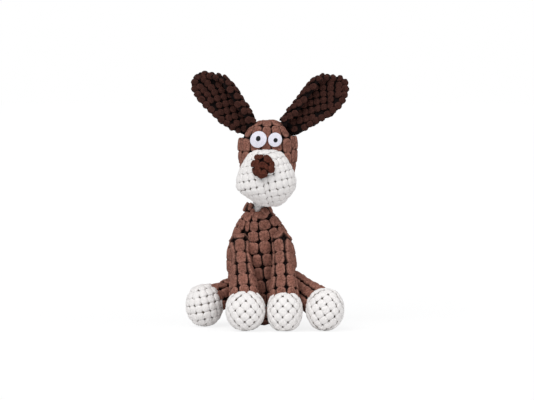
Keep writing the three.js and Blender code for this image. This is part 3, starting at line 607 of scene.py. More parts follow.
class Wrap:
    """Places over a form by row and by angle from its front, with the way out at each."""

    def __init__(self, tree, foot, top, front, lift=0.0, steps=72, turns=120):
        axis = (top - foot).normalized()
        front = square_to(front, axis)
        right = axis.cross(front)
        self.angles = np.linspace(-pi, pi, turns + 1)
        caps = np.radians(np.linspace(-89.5, 0, steps // 3))
        sweep = [(foot, angle) for angle in caps]
        sweep += [(foot.lerp(top, share), 0) for share in np.linspace(0, 1, steps // 3)[1:-1]]
        sweep += [(top, -angle) for angle in reversed(caps)]
        grid = np.zeros((len(sweep), turns + 1, 3))
        for row, (origin, tilt) in enumerate(sweep):
            for column, angle in enumerate(self.angles):
                flat = front * cos(angle) + right * sin(angle)
                away = flat * cos(tilt) + axis * sin(tilt)
                hit = tree.ray_cast(origin, away)[0]
                grid[row, column] = hit if hit else origin
        climb = np.gradient(grid, axis=0)
        around = np.gradient(grid, axis=1)
        around[:, 0] = around[:, -1] = (around[:, 0] + around[:, -1]) / 2
        out = np.cross(around, climb)
        self.out = out / np.maximum(np.linalg.norm(out, axis=2, keepdims=True), 1e-12)
        self.grid = grid + self.out * lift

    def angle_line(self, middle):
        """Places down one angle, or down an angle for each row."""
        angles = np.broadcast_to(middle, len(self.grid))
        return np.array([point_at(angle, self.angles, row)
                         for angle, row in zip(angles, self.grid)])

    def panel_kernels(self, panel, cloth, stagger=False, turn=0.0, gather=None):
        """Lays kernels row by row and column by column over a panel, squeezed at its seams.

        The gather gives the share of its length that a kernel keeps at each height."""
        line = self.angle_line(panel.middle)
        strides = np.linalg.norm(np.diff(line, axis=0), axis=1)
        if gather:
            strides = strides / np.interp(line[1:, 2] / MM, *np.array(gather).T)
        run = np.concatenate([[0], np.cumsum(strides)])
        middle = np.broadcast_to(panel.middle, len(line))
        left = np.broadcast_to(panel.left, len(line))
        right = np.broadcast_to(panel.right, len(line))
        steps = np.arange(len(line))
        wide, long = cloth.width, cloth.length
        if stagger:
            wide, long = wide * STAGGER_WIDTH, long * STAGGER_LENGTH
        kernels = []
        for row in range(-1, ceil(run[-1] / long) + 1):
            low = (row + panel.rise) * long
            high = min(low + long, run[-1])
            low = max(low, 0)
            if high - low < SLIVER * long:
                continue
            at = np.interp((low + high) / 2, run, steps)
            ring, out = row_at(self.grid, at), row_at(self.out, at)
            reach = run_along(ring)
            start, first, last = (np.interp(np.interp(at, steps, edge), self.angles, reach)
                                  for edge in (middle, left, right))
            ahead = (reach[-1] - reach[0]) * 1e-3
            offset = panel.shift + (0.5 * (row % 2) if stagger else 0)
            edges = cells(first, last, start + offset * wide, wide)
            for edge_low, edge_high in zip(edges, edges[1:]):
                span = edge_high - edge_low
                here = (edge_low + edge_high) / 2
                place = point_at(here, reach, ring)
                outward = Vector(point_at(here, reach, out)).normalized()
                along = point_at(here + ahead, reach, ring) - point_at(here - ahead, reach, ring)
                side = square_to(Vector(along), outward)
                up = outward.cross(side)
                if turn:
                    side, up = side * cos(turn) + up * sin(turn), up * cos(turn) - side * sin(turn)
                broad = span / wide
                tall = (high - low) / long
                kept = np.interp(place[2] / MM, *np.array(gather).T) if gather else 1.0
                kernels.append(Kernel(
                    Vector(place), side, up, outward, cloth.width * broad,
                    cloth.length * tall * kept,
                    cloth.pile * (LOW_PILE + (1 - LOW_PILE) * min(1, broad, tall))))
        return kernels


# Just short of the back, where the angles of a wrap meet
BACK_SEAM = radians(179.9)


def puffed_wrap(form, line, lift, seams_of=lambda wrap: (BACK_SEAM,), **counts):
    """Puffs a form between the seams on its wrap, and gives the wrap of what it becomes."""
    wrap = Wrap(tree_of(form), *line, **counts)
    puffed(form, np.concatenate([wrap.angle_line(angle) for angle in seams_of(wrap)]))
    return Wrap(tree_of(form), *line, lift, **counts)


def cloth_inset(cloth):
    """How far a form is drawn in so that its kernels end at the CAD's outline."""
    return (cloth.pile + sizes().travel * 0.5) / MM


# Kernels

def kernel_plan(plan, turns):
    """How far a kernel reaches at each angle, in a square of one unit."""
    square, across, along = plan
    x, y = np.abs(np.cos(turns)), np.abs(np.sin(turns))
    reach = (x ** square + y ** square + (across * x + along * y) ** square) ** (-1 / square)
    most = (1 + across ** square) ** (-1 / square), (1 + along ** square) ** (-1 / square)
    return reach * np.cos(turns) / most[0] / 2, reach * np.sin(turns) / most[1] / 2


# The angles of a kernel's corners in its first quarter
KERNEL_CORNERS = (0, 0.3, 0.62, 1.06, pi / 2)


def kernel_pattern(plan, rings, sides=16):
    """One rounded kernel, in a cube of one unit round the origin."""
    bpy.ops.mesh.primitive_cylinder_add(
        vertices=sides, radius=0.5, depth=1, end_fill_type="NGON")
    pattern = placed("kernel_pattern")
    inset_top(pattern, [(0.1, 1)] * 2, poke=True)
    places = coords(pattern)
    faces = [tuple(polygon.vertices) for polygon in pattern.data.polygons]
    discard(pattern)
    turns = np.arctan2(places[:, 1], places[:, 0])
    evenly = np.linspace(0, pi / 2, len(KERNEL_CORNERS))
    mirrored = np.abs(turns) > pi / 2 + 1e-6
    folded = np.where(mirrored, pi - np.abs(turns), np.abs(turns))
    bent = np.interp(folded, evenly, KERNEL_CORNERS)
    bent = np.where(mirrored, pi - bent, bent) * np.where(turns < 0, -1, 1)
    x, y = kernel_plan(plan, bent)
    level = np.round(places[:, 2], 3)
    found = np.zeros_like(places)
    for height, (share, rise) in zip(sorted(set(level)), rings):
        own = level == height
        found[own] = np.stack([x[own] * share, y[own] * share, np.full(own.sum(), rise)], axis=1)
    found[np.hypot(places[:, 0], places[:, 1]) < 0.05] = (0, 0, 0.5)
    return found, faces


def set_attributes(obj, **layers):
    for key, values in layers.items():
        layer = obj.data.attributes.new(key, "FLOAT", "POINT")
        layer.data.foreach_set("value", np.concatenate(values).astype(np.float32))


# How much kernels differ: in size, in turn, in lean, and over their sides and tops
GROWTH, TWIST, LEAN, ROUGHNESS, LUMPINESS = 0.03, 0.04, 0.05, 0.02, 0.03


def kernel_object(name, kernels, cloth, seed):
    """Copies the pattern to each kernel, each a little different, as one mesh."""
    rng = np.random.default_rng(seed)
    pattern, faces = kernel_pattern(cloth.plan, cloth.rings)
    # The height of each vertex in its kernel and its reach from the middle: as the pile and rim
    # attributes they place the painted shade at the kernels' feet and the painted highlight along
    # their edges
    height = pattern[:, 2] + 0.5
    rim = np.clip(np.hypot(pattern[:, 0], pattern[:, 1]) * 2, 0, 1)
    places, all_faces, piles, rims, tones = [], [], [], [], []
    for index, kernel in enumerate(kernels):
        grow = 1 + rng.normal(0, GROWTH, 3)
        wide = kernel.width * cloth.fill[0] * grow[0]
        long = kernel.length * cloth.fill[1] * grow[1]
        tall = kernel.pile * grow[2]
        twist = rng.normal(0, TWIST)
        lean = rng.normal(0, LEAN, 2)
        side = np.array(kernel.side * cos(twist) + kernel.up * sin(twist))
        up = np.array(kernel.up * cos(twist) - kernel.side * sin(twist))
        level = pattern[:, 2] * tall
        across = pattern[:, 0] * wide + level * lean[0]
        along = pattern[:, 1] * long + level * lean[1]
        rough = rng.normal(0, ROUGHNESS * wide, (2, len(pattern))) * (height > 0.3)
        level = level + rng.normal(0, LUMPINESS * tall, len(pattern)) * (height > 0.5)
        found = (np.array(kernel.place) + np.outer(across + rough[0], side)
                 + np.outer(along + rough[1], up) + np.outer(level, kernel.out))
        first = index * len(pattern)
        places.append(found)
        all_faces += [tuple(corner + first for corner in face) for face in faces]
        piles.append(np.clip(height, 0, 1))
        rims.append(rim)
        tones.append(np.full(len(pattern), rng.uniform()))
    obj = new_object(name, np.concatenate(places), all_faces)
    set_attributes(obj, pile=piles, rim=rims, tone=tones)
    return obj


# How far above the floor a cover is kept
FLOOR_GAP = 0.0001


def sewn(backing, kernels, cloth, seed, name):
    """Joins the kernels to their backing as one cover that rests on the floor."""
    # The backing has no pile, so its material paints it all over with the painted shade of the
    # gaps
    bare = np.zeros((1, len(backing.data.vertices)))
    set_attributes(backing, pile=bare, rim=bare, tone=bare + 0.5)
    joined(name, backing, kernel_object("kernels", kernels, cloth, seed))
    places = coords(backing)
    places[:, 2] = np.maximum(places[:, 2], FLOOR_GAP)
    set_coords(backing, places)
    smooth(backing)
    return backing


def walled(obj):
    apply_modifier(obj, "cloth", "SOLIDIFY", thickness=sizes().backing, offset=-1)


def keep_faces(obj, test):
    """Leaves only the faces whose middle passes the test."""
    mesh = bmesh.new()
    mesh.from_mesh(obj.data)
    gone = [face for face in mesh.faces if not test(face.calc_center_median())]
    bmesh.ops.delete(mesh, geom=gone, context="FACES")
    mesh.to_mesh(obj.data)
    mesh.free()
    obj.data.update()


def fitted(piece, body, slot, fill, *nodes):
    """Puts a finished cover in the frame, in place of its CAD nodes."""
    piece.data.materials.clear()
    piece.data.materials.append(material_for(slot))
    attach(piece, body)
    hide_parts(*nodes)


# Materials

class Shading:
    """The nodes of one material."""

    def __init__(self, name):
        self.material = bpy.data.materials.new(f"{name}_finish")
        self.material.use_nodes = True
        self.nodes = self.material.node_tree.nodes
        self.links = self.material.node_tree.links
        self.place = self.node("TexCoord").outputs["Object"]

    def node(self, kind, **settings):
        node = self.nodes.new(f"ShaderNode{kind}")
        for key, value in settings.items():
            setattr(node, key, value)
        return node

    def put(self, source, socket):
        """Gives a socket a number, a colour or what another node puts out."""
        if isinstance(source, (int, float)):
            socket.default_value = source
        elif isinstance(source, tuple):
            socket.default_value = (*source, 1)
        else:
            self.links.new(source, socket)

    def noise(self, scale, detail, roughness=0.6):
        grain = self.node("TexNoise")
        self.put(self.place, grain.inputs["Vector"])
        self.put(scale, grain.inputs["Scale"])
        self.put(detail, grain.inputs["Detail"])
        self.put(roughness, grain.inputs["Roughness"])
        return grain.outputs["Fac"]

    def ramp(self, source, *stops):
        ramp = self.node("ValToRGB")
        elements = ramp.color_ramp.elements
        while len(elements) < len(stops):
            elements.new(0.5)
        for element, (at, shade) in zip(elements, stops):
            element.position = at
            element.color = (*shade, 1)
        self.put(source, ramp.inputs["Fac"])
        return ramp.outputs["Color"]

    def mix(self, factor, low, high, blend="MIX"):
        mix = self.node("Mix", data_type="RGBA", blend_type=blend)
        for source, index in ((factor, 0), (low, 6), (high, 7)):
            self.put(source, mix.inputs[index])
        return mix.outputs[2]

    def math(self, operation, *values):
        node = self.node("Math", operation=operation, use_clamp=True)
        for value, socket in zip(values, node.inputs):
            self.put(value, socket)
        return node.outputs[0]

    def bump(self, heights, strength, distance):
        bump = self.node("Bump")
        self.put(heights, bump.inputs["Height"])
        self.put(strength, bump.inputs["Strength"])
        self.put(distance, bump.inputs["Distance"])
        return bump.outputs["Normal"]

    def attribute(self, name):
        return self.node("Attribute", attribute_name=name).outputs["Fac"]

    def finished(self, **inputs):
        shader = self.nodes["Principled BSDF"]
        for key, source in inputs.items():
            self.put(source, shader.inputs[SURFACE[key]])
        return self.material


SURFACE = {
    "colour": "Base Color", "normal": "Normal", "roughness": "Roughness",
    "specular": "Specular IOR Level", "sheen": "Sheen Weight",
    "sheen_roughness": "Sheen Roughness", "sheen_tint": "Sheen Tint",
    "subsurface": "Subsurface Weight"}


def darker(shade, share):
    return tuple(share * value for value in shade)


def grey(value):
    return (value,) * 3


def plush_material(name, tip, rim, gap_shade, mottle, crease_shade):
    """Cut pile: painted shade between the kernels and down their sides, mottled on top, and a
    painted highlight along their edges.
    """
    shading = Shading(name)
    pile, edge, tone = (shading.attribute(key) for key in ("pile", "rim", "tone"))
    fine = shading.noise(520, 4, 0.7)
    broad = shading.noise(200, 3)
    fuzz = shading.noise(2600, 2)
    # Painted shade: the gap colour covers the backing and the kernels' feet, and their sides are
    # darkened by the crease share below their tops
    base = shading.ramp(
        pile, (0, gap_shade), (0.3, gap_shade), (0.48, darker(tip, crease_shade)), (0.72, tip))
    # Painted highlight: the outer edges of the kernels' tops are lightened toward the rim colour
    painted_highlight = shading.math("MULTIPLY", shading.math("POWER", edge, 3.0),
                       shading.math("MULTIPLY", pile, fine))
    patches = shading.ramp(fine, (0.4, grey(1 - mottle)), (0.57, grey(1.0)))
    mottled = shading.mix(1.0, shading.mix(painted_highlight, base, rim), patches, "MULTIPLY")
    shades = shading.ramp(shading.math("MULTIPLY_ADD", tone, 0.35, broad),
                          (0.3, grey(1 - mottle * 0.5)), (0.85, grey(1.0)))
    heights = shading.math("MULTIPLY_ADD", fuzz, 0.4, fine)
    return shading.finished(
        colour=shading.mix(1.0, mottled, shades, "MULTIPLY"),
        normal=shading.bump(heights, 0.55, 0.0006),
        roughness=0.95, specular=0.15, sheen=0.12, sheen_roughness=0.45, sheen_tint=rim)


def thread_material(name, shade, roughness, sheen):
    """Embroidery: rings of thread, each with its own fine twist."""
    shading = Shading(name)
    strands = shading.noise(1700, 3)
    blend = shading.math("MULTIPLY_ADD", shading.noise(300, 2), 0.4, strands)
    return shading.finished(
        colour=shading.ramp(blend, (0.45, darker(shade, 0.78)), (0.8, shade)),
        normal=shading.bump(strands, 0.4, 0.0002),
        roughness=roughness, specular=0.2, sheen=sheen)


def fibre_material(name, shade, scale, strength):
    """Spun or teased fibre, matt and uneven."""
    shading = Shading(name)
    hairs = shading.noise(scale, 5, 0.75)
    blend = shading.math("MULTIPLY_ADD", shading.noise(scale / 6, 2), 0.35, hairs)
    return shading.finished(
        colour=shading.ramp(blend, (0.4, darker(shade, 0.72)), (0.75, shade)),
        normal=shading.bump(hairs, strength, 0.0006), roughness=0.92, sheen=0.2)


def plastic_material(name, shade, roughness):
    """Moulded soft plastic with a faint cloudiness and an even satin skin."""
    shading = Shading(name)
    return shading.finished(
        colour=shading.ramp(
            shading.noise(180, 3), (0.35, darker(shade, 0.86)), (0.7, shade)),
        normal=shading.bump(shading.noise(2200, 2), 0.12, 0.0002),
        roughness=roughness, subsurface=0.08)


# Each slot's kind of material, the colours it takes and its other values
FINISHES = {
    # For plush, the colours are the tip, the painted highlight on its edges and the painted shade
    # in the gaps, and the values are its mottling and the share of the tip's colour left in the
    # painted shade on its sides
    "brown_plush": (plush_material, ("brown", "brown_rim_highlight", "brown_gap_shade"), (0.52, 0.5)),
    "white_plush": (plush_material, ("white", "white_rim_highlight", "white_gap_shade"), (0.06, 0.84)),
    "chocolate_plush": (
        plush_material, ("chocolate", "chocolate_rim_highlight", "chocolate_gap_shade"), (0.45, 0.35)),
    "nose_plush": (plush_material, ("nose", "nose_rim_highlight", "nose_gap_shade"), (0.45, 0.4)),
    "eye_thread": (thread_material, ("eye",), (0.6, 0.3)),
    "pupil_thread": (thread_material, ("pupil",), (0.5, 0.0)),
    "cotton_rope": (fibre_material, ("rope",), (1100, 0.5)),
    "fibre_fill": (fibre_material, ("fill",), (420, 0.8)),
    "squeaker_plastic": (plastic_material, ("plastic",), (0.42,)),
    "reed_plastic": (plastic_material, ("reed",), (0.35,)),
}


def material_for(slot):
    found = bpy.data.materials.get(f"{slot}_finish")
    if found:
        return found
    make, shades, values = FINISHES[slot]
    return make(slot, *(tuple(getattr(colours(), key)) for key in shades), *values)


# The body

BODY_LINE = toy_point(-1, 17, 27), toy_point(-9, 4, 98), level_way(0)


# Share of the body's height and of the chest's half width there
CHEST_OUTLINE = ((0.06, 0.3), (0.2, 0.66), (0.45, 0.95), (0.7, 1), (0.88, 0.78), (1.05, 0.4))
CHEST_SIDE, CHEST_HALF, CHEST_SPAN = -4, 16, radians(85)


def chest_edges(wrap):
    """The angle of each chest seam, row by row, from the outline of the chest panel."""
    ups, outs = np.array(CHEST_OUTLINE).T
    edges = []
    for way in (-1, 1):
        angles = []
        for row in wrap.grid:
            mid = np.interp(0, wrap.angles, row[:, 2]) / MM / BODY_HEIGHT
            half = np.interp(mid, ups, outs) * CHEST_HALF
            target = (CHEST_SIDE + way * half) * MM + HOME.x
            span = np.linspace(0, way * CHEST_SPAN, 60)
            found = np.interp(span, wrap.angles, row[:, 0]) * way
            angles.append(
                way * np.interp(target * way, np.maximum.accumulate(found), np.abs(span)))
        edges.append(np.array(angles))
    return edges


# Heights in millimetres and the share of its length that a kernel keeps there
NECK_GATHER = ((70, 1.0), (100, 0.76), (119, 0.7))

# How far from the rope its gathered kernels are centred, in front of it and beyond this angle
NECK_REACH = (10, 11.8)
NECK_FRONT = 60

# Up to this angle from the front they belong to the chest panel
CHEST_TURN = 40

# Kernels gathered round the rope: angle from the front, rise, width and length in
# millimetres, and tilt from the level
NECK_KERNELS = (
    (-48, 1.2, 4.5, 7.6, 20), (-34, -4.5, 5.0, 7.5, 32), (0, -7.2, 9.0, 7.2, 42),
    (44, -3.6, 10.4, 8.6, 40), (84, -1.6, 8.5, 8.5, 30), (122, -1.2, 8.5, 9, 30),
    (160, -0.8, 8.5, 9, 30), (198, -0.6, 8.5, 9, 30), (236, -0.2, 8.5, 9.5, 30),
    (264, 0.4, 7, 10, 26))


# How far the body's kernels and its cloth keep from the middle of the rope
NECK_CLEAR, NECK_HOLE = 12, 7.6


class PLUSHDOG_OT_body(bpy.types.Operator):
    """Sews the pear-shaped body: its back cover and chest panel"""
    bl_idname = "plushdog.body"
    bl_label = "Body"

    def execute(self, context):
        cloth = plush("body")
        form = stuffed_object("body_form", BODY, cloth_inset(cloth), HOME_PLACE)
        wrap = puffed_wrap(form, BODY_LINE, cloth.pile / 2,
                           lambda wrap: (*chest_edges(wrap), BACK_SEAM))
        left, right = chest_edges(wrap)
        panels = (
            ("chest", Panel(radians(-2), left, right, -0.35, 0.3)),
            ("flank", Panel(radians(-95), -pi, left, 0.0, 0.1)),
            ("flank", Panel(radians(92), right, pi, 0.2, 0.55)),
        )
        openings = [(toy_point(*leg.root), leg.radius) for leg in LEGS.values()]
        openings.append((toy_point(*TAIL_ROOT), TAIL_RADIUS))
        neck = toy_point(NECK_SIDE, 0, BODY_HEIGHT)

        def clear(kernel):
            if any((kernel.place - root).length < radius * MM for root, radius in openings):
                return False
            return (kernel.place - neck).length > NECK_CLEAR * MM

        groups = {"chest": [], "flank": []}
        for name, panel in panels:
            laid = wrap.panel_kernels(panel, cloth, gather=NECK_GATHER)
            groups[name] += [k for k in laid if clear(k)]
        for turn, rise, width, length, tilt in NECK_KERNELS:
            away = level_way(radians(turn))
            lean = radians(tilt)
            out = (away * cos(lean) + UPWARD * sin(lean)).normalized()
            side = UPWARD.cross(away).normalized()
            reach = NECK_REACH[abs(turn) >= NECK_FRONT]
            place = neck + away * reach * MM + UPWARD * rise * MM
            kernel = Kernel(place, side, out.cross(side), out, width * MM, length * MM, cloth.pile)
            groups["chest" if abs(turn) < CHEST_TURN else "flank"].append(kernel)
        rows, columns = wrap.grid.shape[:2]
        nearest = KDTree(rows * columns)
        for index, spot in enumerate(wrap.grid.reshape(-1, 3)):
            nearest.insert(spot, index)
        nearest.balance()

        def on_chest(place):
            row, column = divmod(nearest.find(place)[1], columns)
            return left[row] <= wrap.angles[column] <= right[row]

        cutters = [ball("socket", root, (radius + SWING_GAP) * MM) for root, radius in openings]
        cutters.append(ball("rope_way", neck, NECK_HOLE * MM))
        chest = copy_of(form, "chest_form")
        for piece, test, group, name, node, seed in (
                (chest, on_chest, "chest", "chest_plush", "chest_panel", 11),
                (form, lambda place: not on_chest(place), "flank", "body_plush",
                 "body_back_cover", 12)):
            keep_faces(piece, test)
            walled(piece)
            cut_by(piece, cutters)
            cover = sewn(piece, groups[group], cloth, seed, name)
            fitted(cover, "body", "brown_plush", 0.7, node)
        discard(*cutters)
        return {"FINISHED"}


# Head, muzzle, nose and eyes

# The angle of the hood's two front seams, how deep its kernels may lie in the room of the
# muzzle, and how far it hangs below the knot
HOOD_EDGE, HOOD_OVERLAP, HOOD_FOOT = radians(62), 2.4, 14
# Half the width of an ear's root and the room it needs among the kernels
EAR_ROOT_HALF, EAR_ROOT_ROOM = 11, 5.6
# The radius that the covers of the head leave for the rope, and how far down
ROPE_ROOM, ROPE_ROOM_LENGTH = 6.6, 30
# How far the forms that others are cut and tested by are drawn in
HEAD_ROOM, MUZZLE_ROOM, PAW_ROOM, SLEEVE_ROOM = 3.0, 1.5, 2.0, 2.2
# The hood's kernels are this much narrower than the body's
HOOD_WIDTH = 0.95


class PLUSHDOG_OT_head(bpy.types.Operator):
    """Sews the brown hood of the head"""
    bl_idname = "plushdog.head"
    bl_label = "Head"

    def execute(self, context):
        cloth = plush("body")._replace(width=sizes().body_width * HOOD_WIDTH)
        form = stuffed_object("head_form", HEAD, cloth_inset(cloth), HEAD_PLACE)
        line = head_point(FACE_SIDE, 8, 8), head_point(FACE_SIDE, 8, 34), HEAD_FRONT
        wrap = puffed_wrap(form, line, cloth.pile / 2,
                           lambda wrap: (-HOOD_EDGE, HOOD_EDGE, BACK_SEAM))
        panels = (
            Panel(0, -HOOD_EDGE, HOOD_EDGE, 0.0, 0.1),
            Panel(radians(-120), -pi, -HOOD_EDGE, 0.0, 0.25),
            Panel(radians(120), HOOD_EDGE, pi, 0.3, 0.4),
        )
        muzzle = muzzle_object("muzzle_room", MUZZLE_ROOM)
        muzzle_tree = tree_of(muzzle)
        roots = [ear_frame(name) for name in ("left", "right")]

        def clear(kernel):
            if height_over(muzzle_tree, kernel.place) < -HOOD_OVERLAP * MM:
                return False
            for origin, across, _, _ in roots:
                offset = kernel.place - origin
                reach = EAR_ROOT_HALF * MM
                beside = min(max(offset.dot(across), -reach), reach)
                if (offset - across * beside).length < EAR_ROOT_ROOM * MM:
                    return False
            return kernel.place.z > KNOT.z - HOOD_FOOT * MM

        kernels = [k for panel in panels for k in wrap.panel_kernels(panel, cloth) if clear(k)]
        walled(form)
        bpy.ops.mesh.primitive_cylinder_add(
            vertices=24, radius=ROPE_ROOM * MM, depth=ROPE_ROOM_LENGTH * MM,
            location=KNOT - UPWARD * ROPE_ROOM_LENGTH / 2 * MM)
        way = placed("rope_way")
        cut_by(form, [muzzle, way])
        discard(muzzle, way)
        cover = sewn(form, kernels, cloth, 21, "head_plush")
        fitted(cover, "head", "brown_plush", 0.6, "head_cover")
        return {"FINISHED"}


# The muzzle hangs to the right below this height, with a corner on its left
MUZZLE_LEAN, MUZZLE_LEAN_FROM = 0.3, -9
CORNER_PLACE, CORNER_REACH, CORNER_PROUD = (-24.6, -15, -12.5), 5.5, 3.2


def muzzle_object(name, inset):
    obj = stuffed_object(name, MUZZLE, inset, Matrix())
    places = coords(obj) / MM
    far = np.linalg.norm((places - CORNER_PLACE) * (1, 0.6, 1), axis=1) / CORNER_REACH
    places[:, 0] += MUZZLE_LEAN * np.maximum(0, MUZZLE_LEAN_FROM - places[:, 2])
    places[:, 0] -= CORNER_PROUD * np.exp(-far ** 2)
    set_coords(obj, places * MM)
    obj.data.transform(HEAD_PLACE)
    return obj


# Where the seam below the nose begins, and how far it leans to the left as it rises
SEAM_FOOT, SEAM_LEAN = (NOSE_SIDE, -15, -1), radians(12)
# How far above that the muzzle's rows are centred, and how far their line goes down and up
ROWS_RISE, ROWS_BELOW, ROWS_ABOVE = 3, 6, 8
# How deep the muzzle's kernels may lie in the head's room
MUZZLE_OVERLAP = 1.2
# The hollow for the knot: how far its middle is below the knot, and its stretch
KNOT_DROP, KNOT_STRETCH = 20, 2.4


def beyond_seam(place):
    """How far a place lies on the right side of the seam below the nose."""
    own = HEAD_PLACE.inverted() @ place / MM
    return (own.x - SEAM_FOOT[0]) * cos(SEAM_LEAN) + (own.z - SEAM_FOOT[2]) * sin(SEAM_LEAN)


class PLUSHDOG_OT_muzzle(bpy.types.Operator):
    """Sews the white muzzle in two panels that meet below the nose"""
    bl_idname = "plushdog.muzzle"
    bl_label = "Muzzle"

    def execute(self, context):
        cloth = plush("white")
        form = muzzle_object("muzzle_form", cloth_inset(cloth))
        middle = Vector(SEAM_FOOT) + UPWARD * ROWS_RISE
        lean = Vector((-sin(SEAM_LEAN), 0, cos(SEAM_LEAN)))
        line = (head_point(*(middle - lean * ROWS_BELOW)),
                head_point(*(middle + lean * ROWS_ABOVE)), HEAD_FRONT)
        wrap = puffed_wrap(form, line, cloth.pile / 2, lambda wrap: (0.0,))
        head = stuffed_object("head_room", HEAD, HEAD_ROOM, HEAD_PLACE)
        head_tree = tree_of(head)

        def clear(kernel):
            return height_over(head_tree, kernel.place) > -MUZZLE_OVERLAP * MM

        knot = ball("knot_way", KNOT - UPWARD * KNOT_DROP * MM, ROPE_ROOM * MM)
        knot.data.transform(Matrix.Translation(KNOT) @ Matrix.Scale(KNOT_STRETCH, 4, UPWARD)
                            @ Matrix.Translation(-KNOT))
        halves = (
            ("left", -1, Panel(0.0, -pi, 0.0, -0.5, 0.2), 31),
            ("right", 1, Panel(0.0, 0.0, pi, 0.12, 0.45), 32),
        )
        for side, way, panel, seed in halves:
            piece = copy_of(form, f"muzzle_{side}_form")
            keep_faces(piece, lambda place: beyond_seam(place) * way > 0)
            walled(piece)
            cut_by(piece, [head, knot])
            kernels = [k for k in wrap.panel_kernels(panel, cloth) if clear(k)]
            cover = sewn(piece, kernels, cloth, seed, f"muzzle_{side}_plush")
            fitted(cover, "head", "white_plush", 0.8, f"muzzle_{side}_panel")
        discard(form, head, knot)
        return {"FINISHED"}


# Side and height on the nose, width, length and turn of each of its kernels
NOSE_KERNELS = (
    (1.4, 12.0, 7.4, 5.4, 0), (-4.8, 9.6, 6.6, 6.2, 20), (5.2, 7.4, 9.2, 6.6, -12),
    (9.8, 7.0, 5.0, 6.0, -20), (-10.6, 4.4, 5.6, 7.8, 10), (-5.4, 4.0, 6.4, 8.2, 6),
    (0.2, 2.4, 7.4, 7.0, 4), (8.2, -1.0, 8.8, 8.4, -8), (-9.0, -3.6, 7.4, 8.8, -16),
    (-3.8, -3.8, 6.2, 6.8, -8), (1.8, -4.8, 6.2, 7.8, 4), (-3.4, -10.2, 7.8, 7.2, -14),
    (3.6, -9.0, 5.6, 6.0, 12), (7.0, -7.4, 6.2, 6.4, 14))
# Side and height of the small kernels that close its edge
NOSE_RIM = ((-11, 5), (11, 4), (-9, -5), (6, 11), (-3, 12), (9.5, -2))
# Width, length and pile of those, and how far they are lifted
NOSE_RIM_SIZE, NOSE_RIM_LIFT = (7 * MM, 8 * MM, 2.8 * MM), 1.4
# The pile of the big ones, the height of the nose's middle, and how much of the places in
# the table is kept across and along
NOSE_PILE, NOSE_MIDDLE, NOSE_SPREAD = 4.6, 12.4, (0.9, 0.96)
# How far the nose is drawn in
NOSE_INSET = 3.0


class PLUSHDOG_OT_nose(bpy.types.Operator):
    """Gathers the dark nose patch, a padded knob of big kernels"""
    bl_idname = "plushdog.nose"
    bl_label = "Nose"

    def execute(self, context):
        form = stuffed_object("nose_form", NOSE, NOSE_INSET, HEAD_PLACE)
        puffed(form, [])
        tree = tree_of(form)
        kernels = []
        turned = HEAD_PLACE.to_3x3()
        pile = NOSE_PILE * MM
        for side, rise, width, length, turn in NOSE_KERNELS:
            start = head_point(NOSE_SIDE + side * NOSE_SPREAD[0], -70,
                               NOSE_MIDDLE + rise * NOSE_SPREAD[1])
            face = tree.ray_cast(start, -HEAD_FRONT)[0] or start
            place, out, _, _ = tree.find_nearest(face)
            out = (out + turned @ Vector((side * 0.06, -0.5, rise * 0.05))).normalized()
            up = turned @ Vector((sin(radians(turn)), 0, cos(radians(turn))))
            kernels.append(upright_kernel(
                place + out * pile * 0.4, up, out, width * MM, length * MM, pile))
        for side, rise in NOSE_RIM:
            start = head_point(NOSE_SIDE + side, -46, 13 + rise)
            place, out, _, _ = tree.find_nearest(start)
            kernels.append(upright_kernel(
                place + out * NOSE_RIM_LIFT * MM, UPWARD, out, *NOSE_RIM_SIZE))
        walled(form)
        cloth = plush("ear")._replace(fill=(1.04, 1.04))
        knob = sewn(form, kernels, cloth, 41, "nose_plush_knob")
        fitted(knob, "head", "nose_plush", 0.8, "nose_patch")
        return {"FINISHED"}


# The share of a patch's radius that its rings of thread take up, the share of their height
# that each groove goes down again, and how far the middle of a round is domed
THREADED_SHARE, GROOVE_SHARE, DOME = 0.92, 0.8, 0.5


# A stitched round: its slot, its side and height on the face, half its width and height, its
# rings of thread and how proud they are, its share of egg shape, and its lift off the head
Round = namedtuple("Round", "slot side rise wide high rings ridge egg lift")
ROUNDS = {
    "eye_left": Round("eye_thread", -7.6, 39.6, 8.5, 8.0, 9, 0.22, 0.09, 0.4),
    "eye_right": Round("eye_thread", 9.0, 39.3, 6.8, 7.0, 8, 0.22, 0.02, 0.4),
    "pupil_left": Round("pupil_thread", -7.6, 40.4, 2.45, 2.65, 2, 0.2, 0.1, 1.3),
    "pupil_right": Round("pupil_thread", 9.6, 38.9, 2.1, 2.2, 2, 0.2, 0.0, 1.3),
}
EGG_LEAN = radians(60)


def stitched_round(name, own, tree):
    """Rings of thread inset one in another over the curve of the head."""
    bpy.ops.mesh.primitive_cylinder_add(vertices=48, radius=1, depth=1, location=(0, 0, 0))
    disc = placed(name)
    step = THREADED_SHARE / own.rings / 2
    inset_top(disc, [(step, own.ridge), (step, -GROOVE_SHARE * own.ridge)] * own.rings)
    found = []
    for x, y, z in coords(disc):
        turn = atan2(y, x)
        reach = hypot(x, y) * (1 + own.egg * cos(2 * (turn - EGG_LEAN)) * 0.5)
        start = head_point(FACE_SIDE + own.side + reach * cos(turn) * own.wide, -60,
                           own.rise + reach * sin(turn) * own.high)
        hit = tree.ray_cast(start, -HEAD_FRONT)[0]
        dome = (1 - min(1, reach) ** 2) * DOME
        found.append(hit + HEAD_FRONT * (own.lift + dome + z + 0.5) * MM)
    set_coords(disc, found)
    face_outward()
    smooth(disc)
    return disc


class PLUSHDOG_OT_eyes(bpy.types.Operator):
    """Stitches the two eye patches and their pupils"""
    bl_idname = "plushdog.eyes"
    bl_label = "Eyes"

    def execute(self, context):
        form = stuffed_object("eye_ground", HEAD, -0.3, HEAD_PLACE)
        tree = tree_of(form)
        for node, own in ROUNDS.items():
            fitted(stitched_round(f"{node}_patch", own, tree), "head", own.slot, None, node)
        discard(form)
        return {"FINISHED"}


# Ears

